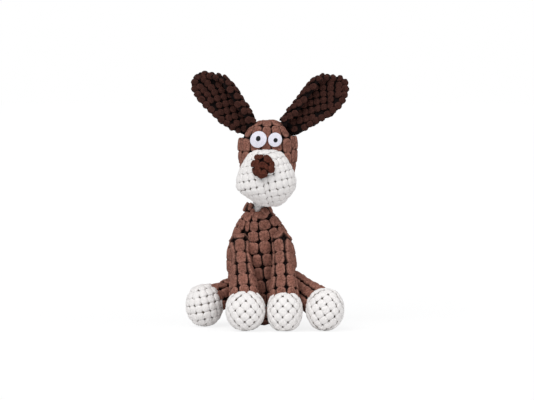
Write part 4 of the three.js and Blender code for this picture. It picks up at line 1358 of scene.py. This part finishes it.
# Distance from the root in millimetres, with the reach of the free and of the rolled margin
EAR_EDGES = {
    "left": ((-4, 9.5, 10), (0, 11, 12), (12, 15, 15), (24, 17, 16.5), (36, 17.4, 19.6),
             (50, 17.4, 20), (58, 16.6, 15.6), (64, 15, 11.6), (69, 11, 8.6), (73, 5, 4)),
    "right": ((-4, 9.5, 13), (0, 11.5, 15), (12, 13, 16), (24, 15.5, 17.6), (36, 18.5, 20.6),
              (48, 19.4, 22), (56, 18, 19.5), (62, 14.6, 14.2), (67, 9.6, 9.4), (71, 4, 3.6))}
EAR_CUP, EAR_ROLL, EAR_ROLL_RADIUS = radians(46), radians(195), 4.6
# Share of the length and share of the roll that is left there
EAR_ROLL_SHARES = ((0, 1), (0.6, 1), (0.78, 0.72), (0.9, 0.4), (1, 0.16))
# How far a kernel stands beyond the cloth at the free margin and at the fold
EAR_PROUD, FOLD_PROUD = 0.8, 4.4
# The kernels are short this near the root, where the ear folds against the head
ROOT_REACH = 11
# How the rows of kernels slant, and how many there are on each side of the middle
EAR_GRAIN, LATTICE_HALF = {"left": radians(-27), "right": radians(34)}, 16
EAR_SEEDS = {"left": 51, "right": 54}
# The two plies: which way each faces, where its cloth lies over the middle of the ear, and
# how near the edge its kernels may be asked for and are kept, in their widths
Ply = namedtuple("Ply", "way low high reach margin")
PLIES = {"front": Ply(1, 0.15, 1.2, -0.35, 0.06), "back": Ply(-1, -1.2, -0.15, 0.15, 0.5)}
# How far beyond the cloth's middle the kernels' foot is, and the least that a kernel faces
# forward on the front
KERNEL_FOOT, LEAST_FACING = 0.9, 0.45
# How far from the root the cup is full, where the kernels begin, and how far from the reach
# of the short ones they have their whole pile
CUP_START, KERNEL_START, ROOT_FADE = 16, 3, 4
# The oval bar at the root: its radius and its stretch across
ROOT_RADIUS, ROOT_STRETCH = 3.2, 3.2


def ear_frame(name):
    """The middle of the ear's root, and its ways across, back and towards the tip."""
    across = Vector(JOINTS[f"ear_{name}_flop"]["axis"]).normalized()
    return pivot(f"ear_{name}_flop"), across, -HEAD_FRONT, across.cross(-HEAD_FRONT)


def ear_sheet(name, rows=44, columns=40):
    """The middle of the ear's cloth: its places, and the way forward at each."""
    origin, across, back, tipward = (np.array(part) for part in ear_frame(name))
    side = 1 if name == "left" else -1
    along, frees, folds = np.array(EAR_EDGES[name]).T
    at_share, left_roll = np.array(EAR_ROLL_SHARES).T
    places, fronts = [], []
    for at in np.linspace(along[0], along[-1], rows + 1):
        roll = EAR_ROLL * np.interp(at / along[-1], at_share, left_roll)
        reach = EAR_ROLL_RADIUS * sin(min(roll, pi / 2))
        fold = np.interp(at, along, folds) - FOLD_PROUD * sin(min(roll, pi / 2)) - reach
        free = -np.interp(at, along, frees) + EAR_PROUD
        cup = EAR_CUP * min(1, (at - along[0]) / CUP_START)
        flat = max(fold - free, 1) * (cup / sin(cup) if cup else 1)
        steps = np.linspace(0, 1, columns + 1) * (flat + EAR_ROLL_RADIUS * roll)
        heading = np.where(
            steps < flat, cup * (steps / flat - 1), (steps - flat) / EAR_ROLL_RADIUS)
        middle = (heading[1:] + heading[:-1]) / 2
        x = free + np.concatenate([[0], np.cumsum(np.cos(middle))]) * steps[1]
        y = -np.concatenate([[0], np.cumsum(np.sin(middle))]) * steps[1]
        y -= y.max()
        places.append(
            origin + (np.outer(side * x, across) + np.outer(y, back) + tipward * at) * MM)
        fronts.append(
            np.outer(-side * np.sin(heading), across) + np.outer(-np.cos(heading), back))
    return np.array(places), np.array(fronts)


def sheet_at(grid, at, across):
    """What a grid holds at a share of its length and of its width."""
    rows, columns = grid.shape[0] - 1, grid.shape[1] - 1
    return row_at(row_at(grid, at * rows), across * columns)


# How far apart the rim's kernels are and how far the others keep from them, in their widths
RIM_PITCH, RIM_GAP = 0.93, 0.68
# How far the rim's kernels are moved forward and inward
RIM_LIFT, RIM_SINK = 1.6, 1.2


def ear_rim(places, fronts, cloth):
    """A row of kernels that rounds the free margin and the tip.

    Each spot has its share of the length and width, those of the spot before it and of one
    farther in, and how far its kernel leans forward and outward."""
    spots = [(at, 0.0, at - 0.01, 0.0, at, 0.06, 0.8, 0.6) for at in np.linspace(0.19, 0.985, 160)]
    spots += [(0.985, across, 0.985, across - 0.01, 0.93, across, 0.8, 0.6)
              for across in np.linspace(0.01, 1, 80)]
    spots += [(at, 1.0, at + 0.01, 1.0, at, 0.94, 0.15, 1.0) for at in np.linspace(0.97, 0.7, 60)]
    kernels = []
    for at, across, at_before, before, at_inside, inside, forward, outward in spots:
        place = Vector(sheet_at(places, at, across))
        front = Vector(sheet_at(fronts, at, across)).normalized()
        edge = (place - Vector(sheet_at(places, at_inside, inside))).normalized()
        place += front * RIM_LIFT * forward * MM - edge * RIM_SINK * MM
        if any((place - other.place).length < RIM_PITCH * cloth.width for other in kernels):
            continue
        out = (front * forward + edge * outward).normalized()
        up = place - Vector(sheet_at(places, at_before, before))
        kernels.append(upright_kernel(place, up, out, cloth.width, cloth.length, cloth.pile))
    return kernels


def ear_kernels(name, places, fronts, ply, cloth):
    """A slanting lattice of kernels over one face of the ear, kept within its outline."""
    way = ply.way
    forward = -np.array(ear_frame(name)[2])
    grid = places + fronts * way * (cloth.pile / 2 + KERNEL_FOOT * MM)
    rows, columns = grid.shape[0] - 1, grid.shape[1] - 1
    strides = np.linalg.norm(np.diff(grid, axis=1), axis=2)
    turned = np.sum(fronts * forward, axis=2)
    start = np.argmax(turned[rows // 2] > 0.999)
    reach = np.pad(np.cumsum(strides, axis=1), ((0, 0), (1, 0)))
    reach = reach - reach[:, start:start + 1]
    down = run_along(places[:, start])
    grain = EAR_GRAIN[name]
    turn = grain * way
    step = np.array(((cos(turn), sin(turn)), (-sin(turn), cos(turn))))
    kernels = ear_rim(places, fronts, cloth) if way > 0 else []
    rim = [kernel.place for kernel in kernels]
    lattice = range(-LATTICE_HALF, LATTICE_HALF + 1)
    for row in lattice:
        for column in lattice:
            over, rise = (column * cloth.width * step[0] + row * cloth.length * step[1]
                          + (0, down[-1] / 2))
            if not -1 * MM < rise < down[-1] + 1 * MM:
                continue
            at = np.interp(rise, down, np.arange(rows + 1))
            line = row_at(reach, at)
            inside = min(over - line[0], line[-1] - over)
            if inside < ply.reach * cloth.width:
                continue
            if rise < KERNEL_START * MM:
                continue
            if way < 0 and rise > down[-1] - 0.3 * cloth.width:
                continue
            near = min(inside, down[-1] - rise + cloth.width * 0.3)
            share = min(1, 0.78 + 0.22 * max(0, near) / (0.4 * cloth.width))
            over = min(max(over, line[0] + ply.margin * cloth.width),
                       line[-1] - 0.22 * cloth.width)
            across = np.interp(over, line, np.arange(columns + 1)) / columns
            front = Vector(sheet_at(fronts, at / rows, across)).normalized()
            if way > 0 and front.dot(Vector(forward)) < LEAST_FACING:
                continue
            up = Vector(sheet_at(places, min(at / rows + 0.02, 1), across)
                        - sheet_at(places, max(at / rows - 0.02, 0), across)).normalized()
            up = square_to(up, front)
            side = up.cross(front * way)
            place = Vector(sheet_at(grid, at / rows, across))
            if any((place - other).length < RIM_GAP * cloth.width for other in rim):
                continue
            side, up = side * cos(grain) - up * sin(grain), up * cos(grain) + side * sin(grain)
            low = 0.5 + 0.5 * min(1, max(0, rise - ROOT_REACH * MM) / (ROOT_FADE * MM))
            place -= front * way * cloth.pile * (1 - low) / 2
            kernels.append(Kernel(place, side, up, front * way, cloth.width * share,
                                  cloth.length * share, cloth.pile * share * low))
    return kernels


def ear_ply(name, places, fronts, low, high):
    """One layer of cloth between two heights over the middle of the ear."""
    rows, columns = places.shape[:2]
    layers = [places + fronts * height * MM for height in (high, low)]
    points = np.concatenate([layer.reshape(-1, 3) for layer in layers])
    count = rows * columns

    def index(layer, row, column):
        return layer * count + row * columns + column

    faces = []
    for row in range(rows - 1):
        for column in range(columns - 1):
            ring = [(row, column), (row, column + 1), (row + 1, column + 1), (row + 1, column)]
            faces.append(tuple(index(0, *spot) for spot in ring))
            faces.append(tuple(index(1, *spot) for spot in reversed(ring)))
    edge = ([(0, column) for column in range(columns)]
            + [(row, columns - 1) for row in range(1, rows)]
            + [(rows - 1, column) for column in range(columns - 2, -1, -1)]
            + [(row, 0) for row in range(rows - 2, 0, -1)])
    for here, there in zip(edge, edge[1:] + edge[:1]):
        faces.append((index(0, *there), index(0, *here), index(1, *here), index(1, *there)))
    obj = new_object(name, points, faces)
    face_outward()
    return obj


def ear_root(name):
    """An oval bar of cloth across the hinge."""
    origin, *ways = ear_frame(name)
    bpy.ops.mesh.primitive_uv_sphere_add(segments=20, ring_count=12, radius=ROOT_RADIUS * MM)
    root = placed("ear_root")
    set_coords(root, coords(root) * (ROOT_STRETCH, 1, 1) @ np.array(ways) + np.array(origin))
    return root


class PLUSHDOG_OT_ears(bpy.types.Operator):
    """Sews the cupped ears, each a front and a back ply on a rolled root"""
    bl_idname = "plushdog.ears"
    bl_label = "Ears"

    def execute(self, context):
        cloth = plush("ear")
        for name, seed in EAR_SEEDS.items():
            places, fronts = ear_sheet(name)
            for index, (side, ply) in enumerate(PLIES.items()):
                piece = ear_ply(f"ear_{name}_{side}_form", places, fronts, ply.low, ply.high)
                kernels = ear_kernels(name, places, fronts, ply, cloth)
                if side == "back":
                    joined(piece.name, piece, ear_root(name))
                cover = sewn(piece, kernels, cloth, seed + index, f"ear_{name}_{side}_plush")
                fitted(cover, f"ear_{name}", "chocolate_plush", 0.1, f"ear_{name}_{side}_ply")
        return {"FINISHED"}


# Legs and tail

# Front angle, shift and rise of the columns of each sleeve, and how its paw's cloth lies
SLEEVES = {
    "front_left": (0, 0.0, 0.35), "front_right": (0, -0.26, 0.3),
    "hind_left": (20, 0.0, 0.2), "hind_right": (-25, 0.3, 0.2)}
PAWS = {
    "front_left": (4, True, 0.0), "front_right": (0, True, 0.3),
    "hind_left": (-12, False, 0.2), "hind_right": (10, True, 0.5)}


LIMB_COUNTS = {"steps": 60, "turns": 72}
# How deep a sleeve's kernels may lie in the paw's room, and a paw's in the sleeve's
SLEEVE_OVERLAP, PAW_OVERLAP = 2.2, 1.2
# How far above its root a front sleeve has kernels
SHOULDER_RISE = 8.5
# How much farther than the other's cloth a paw and a sleeve are cut back
PAW_JOIN, SLEEVE_JOIN = 0.5, 0.9


def cut_off_body(piece, root, radius):
    """Takes the body's room from a piece, apart from the ball in its own opening."""
    room = stuffed_object("body_room", BODY, -SWING_GAP, HOME_PLACE)
    opening = ball("root_room", root, (radius + 0.1) * MM)
    cut_by(room, [opening])
    cut_by(piece, [room])
    discard(room, opening)


def make_sleeve(name, leg, seed):
    cloth = plush("body")
    angle, shift, rise = SLEEVES[name]
    root, heart = (HOME + spot * MM for spot in leg_line(leg))
    form = sleeve_object(f"{name}_sleeve_form", leg, cloth_inset(cloth))
    line = heart - root
    wrap = puffed_wrap(
        form, (heart - line * 0.06, root + line.normalized() * 1 * MM,
               level_way(radians(angle)) + UPWARD * 0.3), cloth.pile / 2, **LIMB_COUNTS)
    paw_outside = stuffed_object("paw_outside", paw_outline(leg), PAW_ROOM, HOME_PLACE)
    body_outside = stuffed_object("body_outside", BODY, -SWING_GAP * 0.5, HOME_PLACE)
    paw_tree, body_tree = tree_of(paw_outside), tree_of(body_outside)

    def clear(kernel):
        if height_over(paw_tree, kernel.place) < -SLEEVE_OVERLAP * MM:
            return False
        if kernel.place.z > root.z + SHOULDER_RISE * MM and name.startswith("front"):
            return False
        tip = kernel.place + kernel.out * kernel.pile / 2
        return height_over(body_tree, tip) > 0 or (tip - root).length < (leg.radius + 0.6) * MM

    panel = Panel(0.0, -pi, pi, shift, rise)
    kernels = [k for k in wrap.panel_kernels(panel, cloth) if clear(k)]
    cut_off_body(form, root, leg.radius)
    walled(form)
    paw_inside = stuffed_object(
        "paw_inside", paw_outline(leg), cloth_inset(plush("white")) + PAW_JOIN, HOME_PLACE)
    cut_by(form, [paw_inside])
    cover = sewn(form, kernels, cloth, seed, f"{name}_sleeve_plush")
    fitted(cover, f"{name}_leg", "brown_plush", 0.7, f"{name}_sleeve")
    discard(paw_outside, body_outside, paw_inside)


def make_paw(name, leg, seed):
    cloth = plush("white")
    tilt, stagger, shift = PAWS[name]
    form = stuffed_object(
        f"{name}_paw_form", paw_outline(leg), cloth_inset(cloth), HOME_PLACE)
    centre = toy_point(*leg.paw, leg.height * 0.5)
    lean = Vector((sin(radians(tilt)), 0, cos(radians(tilt)))) * leg.height * 0.12 * MM
    wrap = puffed_wrap(
        form, (centre - lean, centre + lean, level_way(0)), cloth.pile / 2, **LIMB_COUNTS)
    sleeve_outside = sleeve_object("sleeve_outside", leg, SLEEVE_ROOM)
    sleeve_tree = tree_of(sleeve_outside)
    laid = wrap.panel_kernels(
        Panel(0.0, -pi, pi, shift, 0.3), cloth, stagger, pi / 4 if stagger else 0)
    kernels = [k for k in laid if height_over(sleeve_tree, k.place) > -PAW_OVERLAP * MM]
    walled(form)
    hollow = sleeve_object("sleeve_hollow", leg, cloth_inset(plush("body")) + SLEEVE_JOIN)
    cut_by(form, [hollow])
    cover = sewn(form, kernels, cloth, seed, f"{name}_paw_plush")
    fitted(cover, f"{name}_leg", "white_plush", 0.8, f"{name}_paw")
    discard(sleeve_outside, hollow)


class PLUSHDOG_OT_legs(bpy.types.Operator):
    """Sews the four legs: a brown sleeve and a white ball paw each"""
    bl_idname = "plushdog.legs"
    bl_label = "Legs"

    def execute(self, context):
        for index, (name, leg) in enumerate(LEGS.items()):
            make_sleeve(name, leg, 61 + 2 * index)
            make_paw(name, leg, 62 + 2 * index)
        return {"FINISHED"}


class PLUSHDOG_OT_tail(bpy.types.Operator):
    """Sews the short tail"""
    bl_idname = "plushdog.tail"
    bl_label = "Tail"

    def execute(self, context):
        cloth = plush("body")._replace(
            width=sizes().body_width * 0.86, length=sizes().body_length * 0.8, pile=0.003)
        form = tail_object("tail_form", 3.4)
        root = toy_point(*TAIL_ROOT)
        top = root + TAIL_WAY * TAIL_LENGTH * MM
        wrap = Wrap(tree_of(form), root, top, Vector((0, -0.3, 1)), cloth.pile / 2,
                    steps=48, turns=60)
        body_outside = stuffed_object("body_outside", BODY, -SWING_GAP, HOME_PLACE)
        body_tree = tree_of(body_outside)
        kernels = [k for k in wrap.panel_kernels(Panel(0.0, -pi, pi, 0.0, 0.3), cloth)
                   if height_over(body_tree, k.place) > 0]
        end = tree_of(form).find_nearest(top + TAIL_WAY * 9 * MM)[0]
        sideways = Vector((1, 0, 0))
        kernels.append(Kernel(
            end + TAIL_WAY * cloth.pile / 2, sideways, TAIL_WAY.cross(sideways), TAIL_WAY,
            cloth.width, cloth.length, cloth.pile))
        cut_off_body(form, root, TAIL_RADIUS)
        walled(form)
        discard(body_outside)
        cover = sewn(form, kernels, cloth, 71, "tail_plush")
        fitted(cover, "tail", "brown_plush", 0.5, "tail_cover")
        return {"FINISHED"}


# Rope, stuffing and squeaker

ROPE_STRANDS, ROPE_TURNS = 3, 2.6


class PLUSHDOG_OT_rope(bpy.types.Operator):
    """Twists the three strands of the neck rope and ties its two knots"""
    bl_idname = "plushdog.rope"
    bl_label = "Neck rope"

    def execute(self, context):
        low = pivot("neck_nod")
        line = KNOT - low
        axis = line.normalized()
        side = axis.cross(Vector((0, 1, 0))).normalized()
        over = axis.cross(side)
        strand = sizes().rope_strand
        reach = strand * 0.98
        parts = []
        for index in range(ROPE_STRANDS):
            points = []
            for share in np.linspace(0, 1, 49):
                turn = 2 * pi * (share * ROPE_TURNS + index / ROPE_STRANDS)
                points.append(
                    low + line * share + side * cos(turn) * reach + over * sin(turn) * reach)
            path = bpy.data.curves.new(f"strand_{index}", "CURVE")
            path.dimensions = "3D"
            path.bevel_depth = strand
            path.bevel_resolution = 4
            path.use_fill_caps = True
            spline = path.splines.new("POLY")
            spline.points.add(len(points) - 1)
            for point, place in zip(spline.points, points):
                point.co = (*place, 1)
            obj = bpy.data.objects.new(path.name, path)
            bpy.context.collection.objects.link(obj)
            select_only(obj)
            bpy.ops.object.convert(target="MESH")
            parts.append(bpy.context.object)
        for centre, radius in ((low, 7.4), (KNOT, 7.8)):
            for turn in (0, 60, 120):
                bpy.ops.mesh.primitive_torus_add(
                    major_segments=28, minor_segments=10, major_radius=(radius - 3.1) * MM,
                    minor_radius=3 * MM, location=centre,
                    rotation=(radians(55), radians(20), radians(turn)))
                parts.append(placed("knot_turn"))
        rope = joined("neck_rope_strands", *parts)
        smooth(rope)
        fitted(rope, "neck", "cotton_rope", None, "neck_rope")
        return {"FINISHED"}


# The grain of the fibre: its cell and how far above the floor it stays, in metres
FIBRE_CELL, TAIL_FIBRE_CELL, FIBRE_FOOT = 0.0028, 0.0012, 0.002


# How far the stuffing of each form is drawn in
FILL = {"body": 6.6, "head": 6.6, "muzzle": 5.8, "sleeve": 6.4, "paw": 5.8, "tail": 4.9}
# What the stuffing leaves free round each root, round the tail's, and round the squeaker
ROOT_SPACE, TAIL_SPACE, SQUEAKER_SPACE = 4.5, 4, (17.2, 28.5)


def teased(name, body, node, parts, cutters=(), cell=FIBRE_CELL):
    """Joins forms into one lump of fibre, less what lies in it."""
    piece = parts[0]
    for part in parts[1:]:
        apply_modifier(piece, "with", "BOOLEAN", operation="UNION", solver="EXACT", object=part)
    cut_by(piece, cutters)
    discard(*parts[1:], *cutters)
    piece.name = piece.data.name = name
    remeshed(piece, cell)
    places, out = coords(piece), vertex_normals(piece)
    lumps = np.array([noise.noise(Vector(place) * 160) for place in places])
    places = places + out * (0.0004 * lumps)[:, None]
    places[:, 2] = np.maximum(places[:, 2], FIBRE_FOOT)
    set_coords(piece, places)
    smooth(piece)
    fitted(piece, body, "fibre_fill", 0.6, node)


def drum(name, foot, direction, radius, length):
    """A closed round bar from its foot along the direction."""
    bpy.ops.mesh.primitive_cylinder_add(
        vertices=32, radius=radius, depth=length, location=foot + direction * length / 2,
        rotation=direction.to_track_quat("Z", "Y").to_euler())
    return placed(name)


class PLUSHDOG_OT_stuffing(bpy.types.Operator):
    """Teases the fibre stuffing inside each cover"""
    bl_idname = "plushdog.stuffing"
    bl_label = "Stuffing"

    def execute(self, context):
        low = pivot("neck_nod")
        rope = (KNOT - low).normalized()
        rooms = [ball("room", toy_point(*leg.root), (leg.radius + ROOT_SPACE) * MM)
                 for leg in LEGS.values()]
        rooms += [
            ball("room", toy_point(*TAIL_ROOT), (TAIL_RADIUS + TAIL_SPACE) * MM),
            ball("room", low, 9.2 * MM),
            drum("room", low, rope, 12.5 * MM, 30 * MM),
            drum("room", toy_point(-4, 13, 40), UPWARD,
                 *(reach * MM for reach in SQUEAKER_SPACE))]
        teased("body_fibre", "body", "body_stuffing",
               [stuffed_object("lump", BODY, FILL["body"], HOME_PLACE)], rooms)
        teased("head_fibre", "head", "head_stuffing",
               [stuffed_object("lump", HEAD, FILL["head"], HEAD_PLACE),
                muzzle_object("lump", FILL["muzzle"])],
               [ball("room", KNOT, 9.8 * MM), drum("room", KNOT, -rope, 7.4 * MM, 40 * MM)])
        for name, leg in LEGS.items():
            paw = stuffed_object("lump", paw_outline(leg), FILL["paw"], HOME_PLACE)
            teased(f"{name}_fibre", f"{name}_leg", f"{name}_stuffing",
                   [sleeve_object("lump", leg, FILL["sleeve"]), paw])
        teased("tail_fibre", "tail", "tail_stuffing", [tail_object("lump", FILL["tail"])],
               cell=TAIL_FIBRE_CELL)
        return {"FINISHED"}


# The accordion bulb of the squeaker: folds, their depth and the wall in millimetres, and the
# share of its height that is left when it is pressed
BELLOWS_FOLDS, BELLOWS_DEPTH, BELLOWS_WALL, BELLOWS_KEEP = 4, 3, 0.9, 0.52


def bellows_object(name, sides=48):
    """The accordion bulb, in the room of the CAD's."""
    low, high = (np.array(corner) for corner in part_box("squeaker_bellows"))
    middle, radius = (low + high) / 2, (high[0] - low[0]) / 2
    heights = np.linspace(low[2], high[2], 2 * BELLOWS_FOLDS + 1)
    outer = [(radius - (BELLOWS_DEPTH * MM if index % 2 == 0 else 0), height)
             for index, height in enumerate(heights)]
    profile = outer + [(reach - BELLOWS_WALL * MM, height) for reach, height in reversed(outer)]
    places, faces = [], []
    for index, (reach, height) in enumerate(profile):
        for side in range(sides):
            turn = 2 * pi * side / sides
            places.append((middle[0] + reach * cos(turn), middle[1] + reach * sin(turn), height))
            here, above = index * sides, (index + 1) % len(profile) * sides
            beside = (side + 1) % sides
            faces.append((here + side, here + beside, above + beside, above + side))
    return new_object(name, places, faces), (middle[0], middle[1], low[2])


class PLUSHDOG_OT_squeaker(bpy.types.Operator):
    """Gives the squeaker's moulded parts and its reed their plastic"""
    bl_idname = "plushdog.squeaker"
    bl_label = "Squeaker"

    def execute(self, context):
        bulb, foot = bellows_object("squeaker_bulb")
        fitted(bulb, "body", "squeaker_plastic", None, "squeaker_bellows")
        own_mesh(bulb)
        for node in ("squeaker_base", "squeaker_cap", "squeaker_plug", "squeaker_reed"):
            slot = "reed_plastic" if node == "squeaker_reed" else "squeaker_plastic"
            obj = frame["nodes"][node]
            for own in obj.material_slots:
                own.material = material_for(slot)
        return {"FINISHED"}


# Studio

def shown_to_camera(tree, seen, unseen, output, share=1.0):
    """Mixes the seen shader in by a share for the camera alone."""
    nodes, links = tree.nodes, tree.links
    part = nodes.new("ShaderNodeLightPath").outputs["Is Camera Ray"]
    if share < 1:
        weight = nodes.new("ShaderNodeMath")
        weight.operation = "MULTIPLY"
        weight.inputs[1].default_value = share
        links.new(part, weight.inputs[0])
        part = weight.outputs[0]
    mix = nodes.new("ShaderNodeMixShader")
    links.new(part, mix.inputs["Fac"])
    links.new(unseen.outputs[0], mix.inputs[1])
    links.new(seen.outputs[0], mix.inputs[2])
    links.new(mix.outputs[0], nodes[output].inputs["Surface"])


def paper_material():
    """Pale studio paper, brighter to the camera than to the toy."""
    shading = Shading("studio_paper")
    shading.finished(
        colour=shading.ramp(shading.noise(40, 2), (0.3, grey(0.9)), (0.7, grey(0.93))),
        roughness=0.9)
    glow = shading.node("Emission")
    glow.inputs["Color"].default_value = (1, 1, 1, 1)
    glow.inputs["Strength"].default_value = 1.05
    shown_to_camera(shading.material.node_tree, glow, shading.nodes["Principled BSDF"],
                    "Material Output", 0.8)
    return shading.material


# Name, angle from the front, height angle, strength and softness in degrees
LAMPS = (("key_lamp", -30, 48, 1.72, 45), ("fill_lamp", 50, 35, 0.66, 60))
# The height that lamps and camera aim at and the camera's distance, in metres
AIM_HEIGHT, CAMERA_REACH, CAMERA_LIFT = 0.1265, 2.4, radians(3)


class PLUSHDOG_OT_stage(bpy.types.Operator):
    """Sets the pale floor, the soft lamps and the camera"""
    bl_idname = "plushdog.stage"
    bl_label = "Studio"

    def execute(self, context):
        scene = context.scene
        bpy.ops.mesh.primitive_grid_add(
            x_subdivisions=8, y_subdivisions=8, size=40, location=(0, 0, 0))
        floor = placed("studio_floor")
        floor.data.materials.append(paper_material())

        world = bpy.data.worlds.new("studio")
        scene.world = world
        world.use_nodes = True
        nodes = world.node_tree.nodes
        soft = nodes.new("ShaderNodeBackground")
        soft.inputs["Color"].default_value = (0.96, 0.97, 1, 1)
        soft.inputs["Strength"].default_value = 0.42
        nodes["Background"].inputs["Color"].default_value = (1, 1, 1, 1)
        shown_to_camera(world.node_tree, nodes["Background"], soft, "World Output")

        aim = Vector((HOME.x, HOME.y, AIM_HEIGHT))
        for name, turn, lift, watts, spread in LAMPS:
            light = bpy.data.lights.new(name, "SUN")
            light.energy = watts
            light.angle = radians(spread)
            lamp = bpy.data.objects.new(name, light)
            lamp.location = (aim + level_way(radians(turn)) * cos(radians(lift))
                             + UPWARD * sin(radians(lift)))
            lamp.rotation_euler = (aim - lamp.location).to_track_quat("-Z", "Y").to_euler()
            scene.collection.objects.link(lamp)

        lens = bpy.data.cameras.new("photo_camera")
        lens.sensor_width = 36
        lens.lens = 162
        lens.clip_end = 20
        camera = bpy.data.objects.new("photo_camera", lens)
        camera.location = aim + Vector((0, -cos(CAMERA_LIFT), sin(CAMERA_LIFT))) * CAMERA_REACH
        camera.rotation_euler = (pi / 2 - CAMERA_LIFT, 0, 0)
        scene.collection.objects.link(camera)
        scene.camera = camera
        scene.view_settings.view_transform = "Standard"
        return {"FINISHED"}

class PLUSHDOG_PT_panel(bpy.types.Panel):
    """Lists the steps of the build with its sizes and colours"""
    bl_idname = "PLUSHDOG_PT_panel"
    bl_label = "Plush Dog"
    bl_space_type = "VIEW_3D"
    bl_region_type = "UI"
    bl_category = "Plush Dog"

    def draw(self, context):
        for step in STEPS:
            self.layout.operator(step.bl_idname)
        for owner, group in ((context.scene.plush_sizes, PlushSizes),
                             (context.scene.plush_colours, PlushColours)):
            box = self.layout.box()
            for key in group.__annotations__:
                box.prop(owner, key)


STEPS = (
    PLUSHDOG_OT_stage, PLUSHDOG_OT_body, PLUSHDOG_OT_head, PLUSHDOG_OT_muzzle, PLUSHDOG_OT_nose,
    PLUSHDOG_OT_eyes, PLUSHDOG_OT_ears, PLUSHDOG_OT_legs, PLUSHDOG_OT_tail, PLUSHDOG_OT_rope,
    PLUSHDOG_OT_stuffing, PLUSHDOG_OT_squeaker)
CLASSES = (PlushSizes, PlushColours, *STEPS, PLUSHDOG_PT_panel)


def register():
    for kind in CLASSES:
        bpy.utils.register_class(kind)
    bpy.types.Scene.plush_sizes = PointerProperty(type=PlushSizes)
    bpy.types.Scene.plush_colours = PointerProperty(type=PlushColours)


def unregister():
    del bpy.types.Scene.plush_colours
    del bpy.types.Scene.plush_sizes
    for kind in reversed(CLASSES):
        bpy.utils.unregister_class(kind)


def main():
    register()
    for other in list(bpy.context.selected_objects):
        other.select_set(False)
    for step in STEPS:
        group, name = step.bl_idname.split(".")
        getattr(getattr(bpy.ops, group), name)()


if __name__ == "__main__":
    main()
